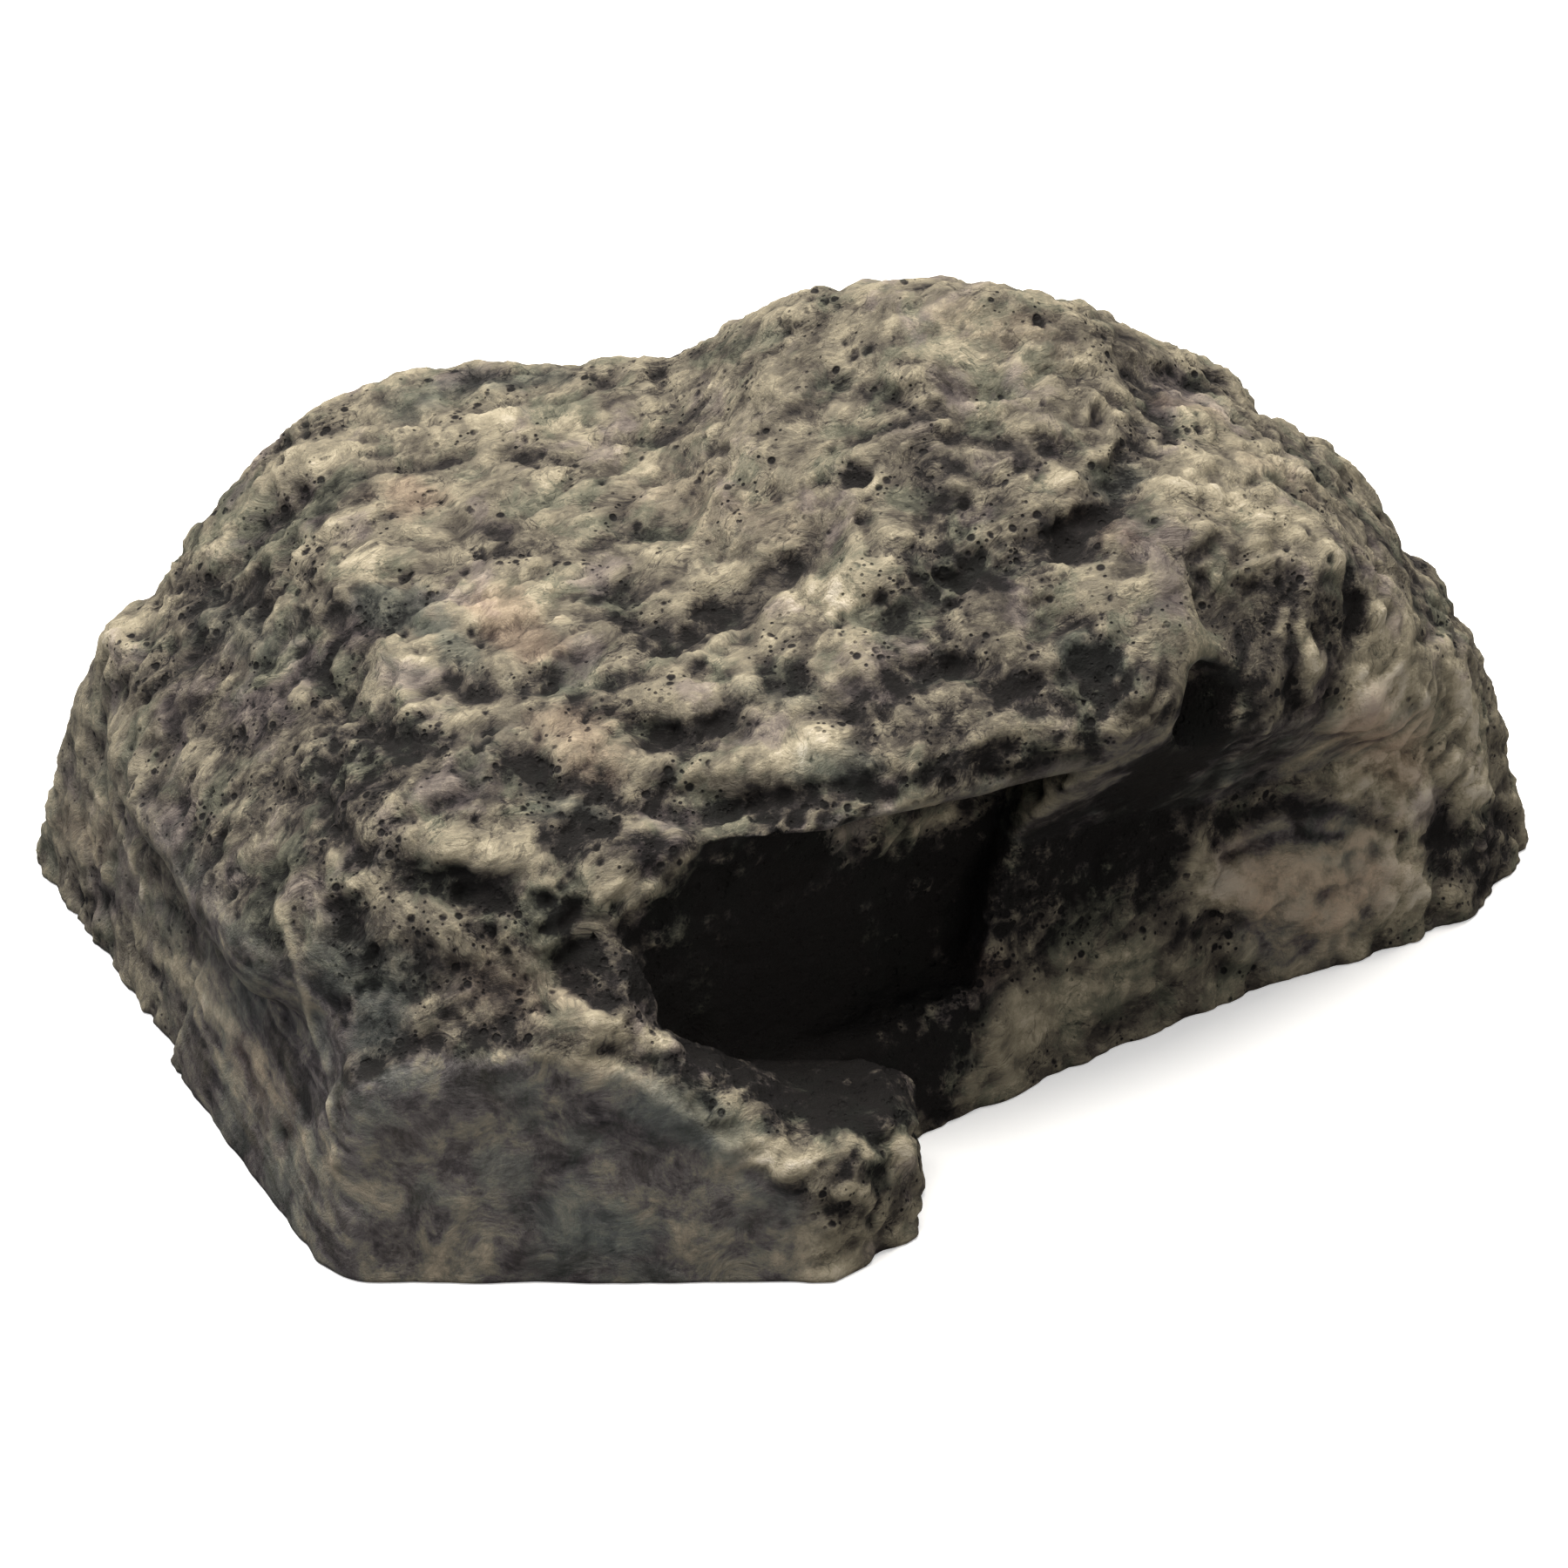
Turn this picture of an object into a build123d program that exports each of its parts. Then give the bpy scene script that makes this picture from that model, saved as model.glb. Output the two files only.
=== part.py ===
from build123d import *
from math import atan, degrees
import os

os.makedirs("parts", exist_ok=True)

# ---- sizes, in millimetres; the stone rests on Z = 0 ----
ROCK_LENGTH = 93.0       # the finished stone along X; its masses grow and shrink with it
LISTED_LENGTH = 93.0     # the stone length that the lists of faces below are given for
ROCK_SCALE = ROCK_LENGTH / LISTED_LENGTH
ROCK_TURN = -42.0        # turns the stone from its front view to the part's frame
ROCK_SHIFT_X = -2.49     # centres the stone along X
ROCK_SHIFT_Y = -1.95     # centres the stone along Y
BLOCK = 300.0            # raw block that every stone mass is cut from
DEEP = -9.0              # depth to which the base masses run on below the ground plane
MASS_TOP = 46.0          # above the highest face of the stone
CORE_TOP = 20.0          # tops of the lower masses, most of them hidden in their neighbours
SHOULDER_TOP = 20.5
FOOT_TOP = 17.0
KNOB_TOP = 8.6
BUTTRESS_TOP = 25.0
BOULDER_TOP = 10.5
SLAB_LOW = 12.0          # undersides of the upper masses
HUMP_LOW = 26.0
CAVE_LOW = 7.4           # floor and roof of the hollow behind the foot
CAVE_TOP = 24.0
WEAR = 3.0               # how far the arrises are worn round
BROAD_WEAR = 4.0         # on the rounded masses
CRISP = 0.0              # none, where the split faces meet sharply
FOOT_WEAR = 2.35
KNOB_WEAR = 2.6
CREASE_REACH = 6.0       # how far a crease is cut up from its bottom line
CREASE_SPREAD = 6.6      # half its width up there

BOX_X = 3.4              # middle of the key space along the stone
BOX_Y = -3.4             # middle of the key space across the stone
KEY_LENGTH = 58.0        # room for a house key, along X
KEY_WIDTH = 27.5         # room for its bow, along Y
KEY_DEPTH = 12.0         # from the rim of the cup to its ceiling
WALL = 1.5               # moulded wall of the cup
CUP_CORNER = 4.0         # inner corner of the cup in plan
CEILING_CORNER = 1.2     # inner corner between the walls and the ceiling

GROUND_GAP = 0.4         # keeps the plastic off the ground
RAIL_LIP = 1.0           # thickness of the lip under the cover's tongue
LIP_REACH = 1.6          # how far the lip reaches under the cover
RUNNING = 0.2            # clearance above and below the cover in its rails
SIDE_RUNNING = 0.25      # clearance beside the cover
COVER_THICK = 2.0        # cover plate
TONGUE_THICK = 1.0       # edge tongue that runs in the rail
COVER_MARGIN = 2.5       # how far the cover overlaps the cup's mouth
FLANGE_THICK = 1.6       # rim of the cup that takes the screws
RAIL_WIDTH = 4.5         # rail beside the cover
RAIL_AHEAD = 3.0         # how far the rails run on past the cup's mouth and margin
FRAME_CORNER = 4.5       # outer corner of the rails and the rim
SEAT_GAP = 0.3           # room around the inset in the stone
GLUE_GAP = 0.4           # room above the cup in the stone
CHANNEL_SIDE = 0.6       # room beside the cover on its way out
CHANNEL_ABOVE = 0.5      # room above the cover on its way out

SEAL_WIDTH = 1.0         # width of the mouth seal
SEAL_HEIGHT = 1.2        # height of the mouth seal
SEAL_GROOVE = 1.05       # depth of the groove that holds it
SEAL_INSET = 0.5         # plastic left between the mouth and the groove
SEAL_FIT = 0.05          # clearance of the seal in its groove
PAD_THICK = 2.0          # foam pad on the ceiling of the cup
PAD_MARGIN = 1.5         # gap around the foam pad

SCREW_HEAD = 3.4         # head diameter of the countersunk screws
SCREW_HEAD_HEIGHT = 0.9
SCREW_THREAD = 1.8       # thread diameter
SCREW_LENGTH = 7.5
SCREW_TIP = 1.4          # length of the pointed end
SCREW_FIT = 0.05         # clearance of the screws in their holes
SCREW_INSET = 5.5        # screw centre from each end of the rails
CROSS_WIDTH = 0.4        # slot of the cross recess
CROSS_LENGTH = 1.9
CROSS_DEPTH = 0.5

DISH_LENGTH = 15.0       # finger dish in the cover
DISH_WIDTH = 21.0
DISH_DEPTH = 0.9
DISH_INSET = 12.5        # middle of the dish from the outer end of the cover
RIB_COUNT = 6            # grip ribs standing in the dish
RIB_WIDTH = 0.8
RIB_PITCH = 2.1
RIB_LENGTH = 13.0

# ---- heights that follow ----
LIP_TOP = GROUND_GAP + RAIL_LIP
TONGUE_LOW = LIP_TOP + RUNNING
COVER_TOP = TONGUE_LOW + TONGUE_THICK
COVER_LOW = COVER_TOP - COVER_THICK
FRAME_TOP = COVER_TOP + RUNNING
FLANGE_TOP = FRAME_TOP + FLANGE_THICK
CUP_CEILING = FRAME_TOP + KEY_DEPTH
CUP_TOP = CUP_CEILING + WALL

# ---- plan sizes that follow ----
COVER_WIDTH = KEY_WIDTH + 2 * COVER_MARGIN
SLOT_WIDTH = COVER_WIDTH + 2 * SIDE_RUNNING
LIP_INNER = COVER_WIDTH - 2 * LIP_REACH
PLATE_WIDTH = LIP_INNER - 2 * SIDE_RUNNING
FRAME_WIDTH = SLOT_WIDTH + 2 * RAIL_WIDTH
COVER_START = BOX_X - KEY_LENGTH / 2 - COVER_MARGIN
FRAME_START = COVER_START - SIDE_RUNNING - RAIL_WIDTH
FRAME_END = BOX_X + KEY_LENGTH / 2 + COVER_MARGIN + RAIL_AHEAD
FRAME_LENGTH = FRAME_END - FRAME_START
FRAME_X = (FRAME_START + FRAME_END) / 2
COVER_LENGTH = FRAME_END - COVER_START
COVER_X = (COVER_START + FRAME_END) / 2
PLATE_START = COVER_START + LIP_REACH + SIDE_RUNNING
CUP_LENGTH = KEY_LENGTH + 2 * WALL
CUP_WIDTH = KEY_WIDTH + 2 * WALL
SCREW_X = FRAME_LENGTH / 2 - SCREW_INSET
SCREW_Y = (SLOT_WIDTH + RAIL_WIDTH) / 2


# ---- the stone ----
# Its faces are listed as seen from its front, X to the right and Y away. Each face has the
# compass azimuth that it looks to, its slope above level and a point that it passes through.

def face_plane(azimuth, slope, x, y, z, wear):
    """Plane of one stone face, set back by the wear of its arrises."""
    outward = Vector(1, 0, 0).rotate(Axis.Y, -slope).rotate(Axis.Z, azimuth)
    return Plane(origin=Vector(x, y, z) * ROCK_SCALE - outward * wear, z_dir=outward)


def chiselled(faces, low, high, wear):
    """A block split along its faces, then grown back so that every arris is worn round."""
    with BuildPart() as mass:
        Box(BLOCK, BLOCK, BLOCK)
        for azimuth, slope, x, y, z in faces:
            split(bisect_by=face_plane(azimuth, slope, x, y, z, wear), keep=Keep.BOTTOM)
        split(bisect_by=Plane.XY.offset(low * ROCK_SCALE + wear), keep=Keep.TOP)
        split(bisect_by=Plane.XY.offset(high * ROCK_SCALE - wear), keep=Keep.BOTTOM)
        if wear:
            offset(amount=wear, kind=Kind.ARC)
    return mass.part


def stone_core():
    """The broad body; its right front is the recessed wall under the ledge."""
    faces = [
        (308.6, 13, 26.4, -12.8, 0),
        (333, 6, 49.5, 3.8, 0),
        (0, 14, 52.6, 8, 5),
        (0, 30, 46, 8, 20.8),
        (42, 12, 36.3, 31.6, 4),
        (75, 18, 27.9, 38.2, 4),
        (110, 16, 4, 44.5, 4),
        (132, 16, -23, 30, 4),
        (160, 16, -42, 26, 3),
        (186, 22, -47, 9, 2),
        (205, 10, -32.2, -19.6, 0),
        (268, 30, -15, -31.5, 12),
    ]
    return chiselled(faces, DEEP, CORE_TOP, CRISP)


def stone_slab():
    """The broad tilted top, with the lip that overhangs the right front."""
    faces = [
        (242, 78, -12, 15, 34.7),
        (270, 64, 12, 9, 43.4),
        (325, 60, 34, -10, 30.5),
        (290, 12, 9.3, -28.4, 26),
        (319, 12, 29.3, -16, 28),
        (300, -38, 13, -25, 24),
        (345, 38, 41.2, 0, 30),
        (0, 60, 32.2, 8, 34.9),
        (0, 40, 40.2, 8, 29),
        (0, 20, 44.6, 8, 22),
        (262, 12, -12, -33.4, 23),
        (232, 34, -26.5, -29, 17.5),
        (202, 46, -35.6, -12, 16.7),
        (180, 29, -37.5, 10, 19.5),
        (180, 45, -30.9, 13, 28.4),
        (92, 50, -8, 15, 35),
        (70, 50, 32, 9, 35.4),
        (130, 45, -27.5, 15, 30.3),
        (132, 22, -22, 27, 16),
        (105, 22, 0, 37, 18),
        (45, 20, 33, 28, 16),
    ]
    return chiselled(faces, SLAB_LOW, MASS_TOP, WEAR)


def stone_hump():
    """The rise at the back right of the top."""
    faces = [
        (270, 64, 12, 8, 43.3),
        (190, 45, 1.6, 11, 38.6),
        (352, 50, 25, 9, 39.4),
        (325, 60, 33, -10, 30.3),
        (92, 48, 12, 10.8, 43),
        (95, 30, 12, 17, 37.5),
        (70, 52, 27, 10.5, 40),
        (20, 78, 17, 9, 43.3),
        (235, 62, 2, -10, 32),
    ]
    return chiselled(faces, HUMP_LOW, MASS_TOP, BROAD_WEAR)


def stone_shoulder():
    """The sloping mass between the foot and the slab."""
    faces = [
        (205, 13, -26.3, -28, 12),
        (228, 42, -25.5, -33, 13.5),
        (264, 48, -12, -38.2, 15),
        (266, 9, -5, -40, 0),
        (335, 14, -4.4, -34, 18),
        (90, 10, 0, -18, 18),
    ]
    return chiselled(faces, DEEP, SHOULDER_TOP, CRISP)


def stone_cave():
    """The dark hollow behind the foot, cut back to a wall beside the key cup."""
    faces = [
        (132, 0, 5, -22.8, 12),
        (205, -12, -5.5, -30, 15),
        (18, -20, 19, -20, 14),
        (308, -30, 14, -32, 12),
    ]
    return chiselled(faces, CAVE_LOW, CAVE_TOP, CRISP)


def stone_foot():
    """The smooth block at the front left."""
    faces = [
        (204, 7, -27, -31.7, 0),
        (242, 5, -23.6, -39.6, 0),
        (270, 7, 0, -40.5, 0),
        (318, 4, 9.8, -37.8, 0),
        (357, 6, 11.9, -30, 0),
        (12, 54, -4, -38, 15.2),
        (97, 22, 0, -30, 8),
        (225, 52, -20, -38, 14.5),
    ]
    return chiselled(faces, DEEP - 1, FOOT_TOP, FOOT_WEAR)


def stone_knob():
    """The round end of the foot."""
    faces = [
        (200, 0, 0, -38, 0),
        (270, 4, 6, -40.3, 0),
        (318, 3, 10, -37.5, 0),
        (0, 3, 12.2, -30, 0),
        (90, 10, 8, -27, 6),
    ]
    return chiselled(faces, DEEP, KNOB_TOP, KNOB_WEAR)


def stone_buttress():
    """The broken mass that carries the right end of the slab."""
    faces = [
        (300, 9, 41, -1.2, 6),
        (333, 9, 49.5, 3.8, 3),
        (0, 15, 52.4, 8, 6),
        (352, 40, 46, 4, 20),
        (262, 16, 32, -6, 8),
        (60, 30, 40, 24, 12),
        (42, 16, 35, 30, 5),
        (120, 20, 40, 26, 8),
        (180, 10, 24, 10, 8),
    ]
    return chiselled(faces, DEEP, BUTTRESS_TOP, BROAD_WEAR)


def stone_boulder():
    """The smooth bulge low on the buttress."""
    faces = [
        (300, 6, 38.5, -4.4, 0),
        (340, 4, 45, -3, 0),
        (240, 10, 31, -8, 2),
        (300, 55, 37, -4, 9),
        (120, 10, 36, 6, 5),
    ]
    return chiselled(faces, DEEP, BOULDER_TOP, BROAD_WEAR)


def crease(tilt, points):
    """V-shaped crease along its bottom line; it opens at a tilt above the level front."""
    opening = Vector(0, -1, 0).rotate(Axis.X, -tilt)
    places = [Vector(*point) * ROCK_SCALE for point in points]
    with BuildPart() as cut:
        for start, end in zip(places, places[1:]):
            along = end - start
            with BuildSketch(Plane(origin=start, x_dir=opening.cross(along), z_dir=along)):
                with BuildLine():
                    Polyline(
                        (0, 0), (CREASE_SPREAD, CREASE_REACH), (-CREASE_SPREAD, CREASE_REACH), close=True)
                make_face()
            extrude(amount=along.length)
    return cut.part


def stone_creases():
    """The deep creases of the top and under the lips of the rim, as (tilt, bottom line)."""
    lines = [
        (90, [(27.8, 1.7, 36.4), (24.1, -7.5, 34.0), (18.1, -11.4, 32.8), (12.6, -12.2, 33.5)]),
        (90, [(-8.0, -8.0, 30.9), (-3.5, -14.0, 28.9), (1.3, -11.8, 29.6), (5.6, -9.3, 33.5)]),
        (75, [(-9.2, -18.4, 28.9), (-3.0, -22.2, 26.4), (3.0, -20.6, 29.0)]),
        (80, [(-30.2, -1.7, 25.8), (-25.1, -11.1, 24.8), (-22.0, -17.6, 24.8), (-16.0, -25.9, 26.6)]),
        (75, [(8.0, -20.6, 29.1), (14.3, -17.2, 29.2), (18.8, -19.7, 27.8), (24.9, -20.2, 27.2)]),
        (35, [(-9.6, -27.9, 25.5), (-2.0, -24.6, 25.2), (5.0, -25.2, 25.0), (11.6, -24.4, 27.0)]),
        (20, [(-22.8, -27.8, 22.6), (-15.2, -30.6, 22.4), (-8.4, -33.3, 22.3)]),
        (90, [(-34.0, 5.8, 24.8), (-29.0, 4.2, 26.9), (-23.6, 3.7, 31.6)]),
        (75, [(37.6, -5.6, 29.6), (33.4, -11.4, 25.4), (30.7, -12.9, 21.4)]),
    ]
    with BuildPart() as creases:
        for tilt, points in lines:
            add(crease(tilt, points))
    return creases.part


def whole_stone():
    """All masses as one stone, seen from its front."""
    with BuildPart() as stone:
        add(stone_core())
        add(stone_slab())
        add(stone_shoulder())
        add(stone_cave(), mode=Mode.SUBTRACT)
        add(stone_foot())
        add(stone_knob())
        add(stone_buttress())
        add(stone_boulder())
        add(stone_hump())
        add(stone_creases(), mode=Mode.SUBTRACT)
    return stone.part


def screw_places(height):
    """The four screw centres at a given height."""
    middle = Location((FRAME_X, BOX_Y, height))
    return [middle * place for place in GridLocations(2 * SCREW_X, 2 * SCREW_Y, 2, 2)]


def make_rock_shell():
    stone = whole_stone()
    recess_length = FRAME_LENGTH + 2 * SEAT_GAP
    recess_width = FRAME_WIDTH + 2 * SEAT_GAP
    channel_width = COVER_WIDTH + 2 * CHANNEL_SIDE
    pocket_length = CUP_LENGTH + 2 * SEAT_GAP
    pocket_width = CUP_WIDTH + 2 * SEAT_GAP
    with BuildPart() as rock_shell:
        shift = Vector(ROCK_SHIFT_X, ROCK_SHIFT_Y, 0) * ROCK_SCALE
        with Locations(Location(shift, (0, 0, ROCK_TURN))):
            add(stone)
        split(bisect_by=Plane.XY, keep=Keep.TOP)
        # stepped pocket: the rails and the rim below, the cup above
        with BuildSketch(Plane((FRAME_X, BOX_Y, 0))):
            RectangleRounded(recess_length, recess_width, FRAME_CORNER + SEAT_GAP)
        extrude(amount=FLANGE_TOP, mode=Mode.SUBTRACT)
        with BuildSketch(Plane((BOX_X, BOX_Y, FLANGE_TOP))):
            RectangleRounded(pocket_length, pocket_width, CUP_CORNER + WALL + SEAT_GAP)
        extrude(amount=CUP_TOP + GLUE_GAP - FLANGE_TOP, mode=Mode.SUBTRACT)
        # shallow channel that lets the cover out under the hidden end
        with BuildSketch(Plane((FRAME_END, BOX_Y, 0))):
            Rectangle(BLOCK / 4, channel_width, align=(Align.MIN, Align.CENTER))
        extrude(amount=COVER_TOP + CHANNEL_ABOVE, mode=Mode.SUBTRACT)
        # pilot holes for the screws
        with Locations(*screw_places(FLANGE_TOP)):
            Hole(SCREW_THREAD / 2 + SCREW_FIT, depth=GROUND_GAP + SCREW_LENGTH - FLANGE_TOP + SCREW_FIT)
    return rock_shell


# ---- the plastic inset ----

def make_key_box():
    """Moulded cup with a broad rim; the key lies in it and the seal sits in the rim."""
    with BuildPart() as key_box:
        with BuildSketch(Plane((FRAME_X, BOX_Y, FRAME_TOP))):
            RectangleRounded(FRAME_LENGTH, FRAME_WIDTH, FRAME_CORNER)
        extrude(amount=FLANGE_THICK)
        with BuildSketch(Plane((BOX_X, BOX_Y, FRAME_TOP))):
            RectangleRounded(CUP_LENGTH, CUP_WIDTH, CUP_CORNER + WALL)
        extrude(amount=CUP_TOP - FRAME_TOP)
        with BuildSketch(Plane((BOX_X, BOX_Y, FRAME_TOP))):
            RectangleRounded(KEY_LENGTH, KEY_WIDTH, CUP_CORNER)
        extrude(amount=KEY_DEPTH, mode=Mode.SUBTRACT)
        ceiling = key_box.faces().filter_by(Axis.Z).filter_by_position(
            Axis.Z, CUP_CEILING - 0.01, CUP_CEILING + 0.01)
        chamfer(ceiling.edges(), CEILING_CORNER)
        # groove for the mouth seal
        groove_inner = SEAL_INSET
        groove_outer = SEAL_INSET + SEAL_WIDTH + 2 * SEAL_FIT
        with BuildSketch(Plane((BOX_X, BOX_Y, FRAME_TOP))):
            RectangleRounded(
                KEY_LENGTH + 2 * groove_outer, KEY_WIDTH + 2 * groove_outer, CUP_CORNER + groove_outer)
            RectangleRounded(
                KEY_LENGTH + 2 * groove_inner, KEY_WIDTH + 2 * groove_inner,
                CUP_CORNER + groove_inner, mode=Mode.SUBTRACT)
        extrude(amount=SEAL_GROOVE, mode=Mode.SUBTRACT)
        with Locations(*screw_places(FLANGE_TOP)):
            Hole(SCREW_THREAD / 2 + SCREW_FIT, depth=FLANGE_THICK)
    return key_box


def make_mouth_seal():
    """Rubber ring pressed into the groove around the mouth of the cup."""
    inner = SEAL_INSET + SEAL_FIT
    outer = inner + SEAL_WIDTH
    with BuildPart() as mouth_seal:
        with BuildSketch(Plane((BOX_X, BOX_Y, FRAME_TOP + SEAL_GROOVE - SEAL_HEIGHT))):
            RectangleRounded(KEY_LENGTH + 2 * outer, KEY_WIDTH + 2 * outer, CUP_CORNER + outer)
            RectangleRounded(
                KEY_LENGTH + 2 * inner, KEY_WIDTH + 2 * inner, CUP_CORNER + inner, mode=Mode.SUBTRACT)
        extrude(amount=SEAL_HEIGHT)
    return mouth_seal


def make_foam_pad():
    """Soft pad on the ceiling of the cup that keeps the key from rattling."""
    with BuildPart() as foam_pad:
        with BuildSketch(Plane((BOX_X, BOX_Y, CUP_CEILING - PAD_THICK))):
            RectangleRounded(
                KEY_LENGTH - 2 * PAD_MARGIN, KEY_WIDTH - 2 * PAD_MARGIN, CUP_CORNER - PAD_MARGIN)
        extrude(amount=PAD_THICK)
    return foam_pad


def make_rail_frame():
    """U-shaped rails, open at the outer end, with a lip under each edge of the cover."""
    slot_start = COVER_START - SIDE_RUNNING
    with BuildPart() as rail_frame:
        with BuildSketch(Plane((FRAME_X, BOX_Y, GROUND_GAP))):
            RectangleRounded(FRAME_LENGTH, FRAME_WIDTH, FRAME_CORNER)
        extrude(amount=FRAME_TOP - GROUND_GAP)
        # slot in which the tongues run
        with BuildSketch(Plane((slot_start, BOX_Y, LIP_TOP))):
            Rectangle(BLOCK / 2, SLOT_WIDTH, align=(Align.MIN, Align.CENTER))
        extrude(amount=FRAME_TOP - LIP_TOP, mode=Mode.SUBTRACT)
        # window between the lips, for the thick middle of the cover
        with BuildSketch(Plane((COVER_START + LIP_REACH, BOX_Y, GROUND_GAP))):
            Rectangle(BLOCK / 2, LIP_INNER, align=(Align.MIN, Align.CENTER))
        extrude(amount=RAIL_LIP, mode=Mode.SUBTRACT)
        rim = rail_frame.faces().sort_by(Axis.Z)[0]
        chamfer(rim.edges().filter_by(Axis.X), RAIL_LIP / 4)
        with Locations(*[place * Location((0, 0, 0), (180, 0, 0)) for place in screw_places(GROUND_GAP)]):
            CounterSinkHole(
                SCREW_THREAD / 2 + SCREW_FIT, SCREW_HEAD / 2 + SCREW_FIT, depth=FRAME_TOP,
                counter_sink_angle=screw_angle())
    return rail_frame


def screw_angle():
    """Cone angle of the screw heads, from their diameters and height."""
    return 2 * degrees(atan((SCREW_HEAD - SCREW_THREAD) / 2 / SCREW_HEAD_HEIGHT))


def make_slide_cover():
    """Cover plate with tongues on three edges and a ribbed finger dish outside."""
    dish_x = FRAME_END - DISH_INSET
    with BuildPart() as slide_cover:
        with BuildSketch(Plane((COVER_X, BOX_Y, TONGUE_LOW))):
            Rectangle(COVER_LENGTH, COVER_WIDTH)
        extrude(amount=TONGUE_THICK)
        inner_corners = slide_cover.edges().filter_by(Axis.Z).group_by(Axis.X)[0]
        chamfer(inner_corners, LIP_REACH / 2)
        plate_length = FRAME_END - PLATE_START
        with BuildSketch(Plane((PLATE_START + plate_length / 2, BOX_Y, COVER_LOW))):
            Rectangle(plate_length, PLATE_WIDTH)
        extrude(amount=COVER_THICK)
        under = slide_cover.faces().sort_by(Axis.Z)[0]
        chamfer(under.edges(), RAIL_LIP / 4)
        # finger dish with grip ribs left standing
        with BuildSketch(Plane((dish_x, BOX_Y, COVER_LOW))):
            RectangleRounded(DISH_LENGTH, DISH_WIDTH, DISH_LENGTH / 3)
            with GridLocations(RIB_PITCH, 0, RIB_COUNT, 1):
                SlotOverall(RIB_LENGTH, RIB_WIDTH, rotation=90, mode=Mode.SUBTRACT)
        extrude(amount=DISH_DEPTH, mode=Mode.SUBTRACT)
    return slide_cover


def make_frame_screws():
    """Four countersunk self-tapping screws that hold the rails and the cup in the stone."""
    head = SCREW_HEAD / 2
    core = SCREW_THREAD / 2
    with BuildPart() as one_screw:
        with BuildSketch(Plane.XZ):
            with BuildLine():
                Polyline(
                    (0, 0), (head, 0), (core, SCREW_HEAD_HEIGHT), (core, SCREW_LENGTH - SCREW_TIP),
                    (0, SCREW_LENGTH), close=True)
            make_face()
        revolve(axis=Axis.Z)
        with BuildSketch():
            Rectangle(CROSS_LENGTH, CROSS_WIDTH)
            Rectangle(CROSS_WIDTH, CROSS_LENGTH)
        extrude(amount=CROSS_DEPTH, mode=Mode.SUBTRACT)
    with BuildPart() as frame_screws:
        with Locations(*screw_places(GROUND_GAP)):
            add(one_screw)
    return frame_screws


# ---- every piece, in place, with its name ----

rock_shell = make_rock_shell()
rock_shell.part.label = "rock_shell"
export_step(rock_shell.part, "parts/rock_shell.step")

key_box = make_key_box()
key_box.part.label = "key_box"
export_step(key_box.part, "parts/key_box.step")

mouth_seal = make_mouth_seal()
mouth_seal.part.label = "mouth_seal"
export_step(mouth_seal.part, "parts/mouth_seal.step")

foam_pad = make_foam_pad()
foam_pad.part.label = "foam_pad"
export_step(foam_pad.part, "parts/foam_pad.step")

rail_frame = make_rail_frame()
rail_frame.part.label = "rail_frame"
export_step(rail_frame.part, "parts/rail_frame.step")

slide_cover = make_slide_cover()
slide_cover.part.label = "slide_cover"
export_step(slide_cover.part, "parts/slide_cover.step")

frame_screws = make_frame_screws()
frame_screws.part.label = "frame_screws"
export_step(frame_screws.part, "parts/frame_screws.step")
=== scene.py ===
import math
import random
from types import SimpleNamespace

import bmesh
import bpy
import numpy as np
from mathutils import Matrix, Vector, noise
from mathutils.bvhtree import BVHTree


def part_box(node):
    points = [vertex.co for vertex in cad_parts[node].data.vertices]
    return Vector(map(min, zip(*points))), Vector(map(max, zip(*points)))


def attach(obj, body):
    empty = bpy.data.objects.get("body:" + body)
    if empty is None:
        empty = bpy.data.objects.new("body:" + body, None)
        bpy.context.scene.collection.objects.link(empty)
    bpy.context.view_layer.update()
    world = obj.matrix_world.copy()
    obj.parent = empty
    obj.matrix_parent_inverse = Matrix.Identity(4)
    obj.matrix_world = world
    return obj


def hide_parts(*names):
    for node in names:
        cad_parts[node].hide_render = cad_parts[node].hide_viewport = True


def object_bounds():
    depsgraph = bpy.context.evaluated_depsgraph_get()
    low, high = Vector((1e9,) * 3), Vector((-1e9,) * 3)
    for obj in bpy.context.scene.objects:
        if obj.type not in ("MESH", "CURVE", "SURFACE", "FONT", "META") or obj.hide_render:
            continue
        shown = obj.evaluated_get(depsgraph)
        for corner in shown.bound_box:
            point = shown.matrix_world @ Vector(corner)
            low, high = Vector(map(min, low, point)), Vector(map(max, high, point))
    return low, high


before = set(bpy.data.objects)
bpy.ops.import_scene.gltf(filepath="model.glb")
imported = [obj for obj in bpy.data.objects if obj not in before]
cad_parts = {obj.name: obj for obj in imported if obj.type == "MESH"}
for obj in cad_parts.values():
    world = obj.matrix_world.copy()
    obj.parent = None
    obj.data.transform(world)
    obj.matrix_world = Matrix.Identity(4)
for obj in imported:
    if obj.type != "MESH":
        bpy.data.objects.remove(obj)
cad_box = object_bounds()
MM = 0.001
RANDOM_SEED = 7

# ---- sizes, in millimetres unless said otherwise ----
FRONT_TURN = 42.0              # degrees from the part's frame to the stone's front view
STONE_MIDDLE = (-2.49, -1.95)  # the front view's origin in the part's frame
VOXEL = 0.44                   # mesh size of the carved stone
BLANK_DEPTH = 3.0              # the blank runs on this far below the ground, and is cut off flat
FILLING = 0.25                 # the filling of the pocket laps into the stone around it
BOX_ROOM = 0.02                # the carved stone stays this far inside the box of the whole part

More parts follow.
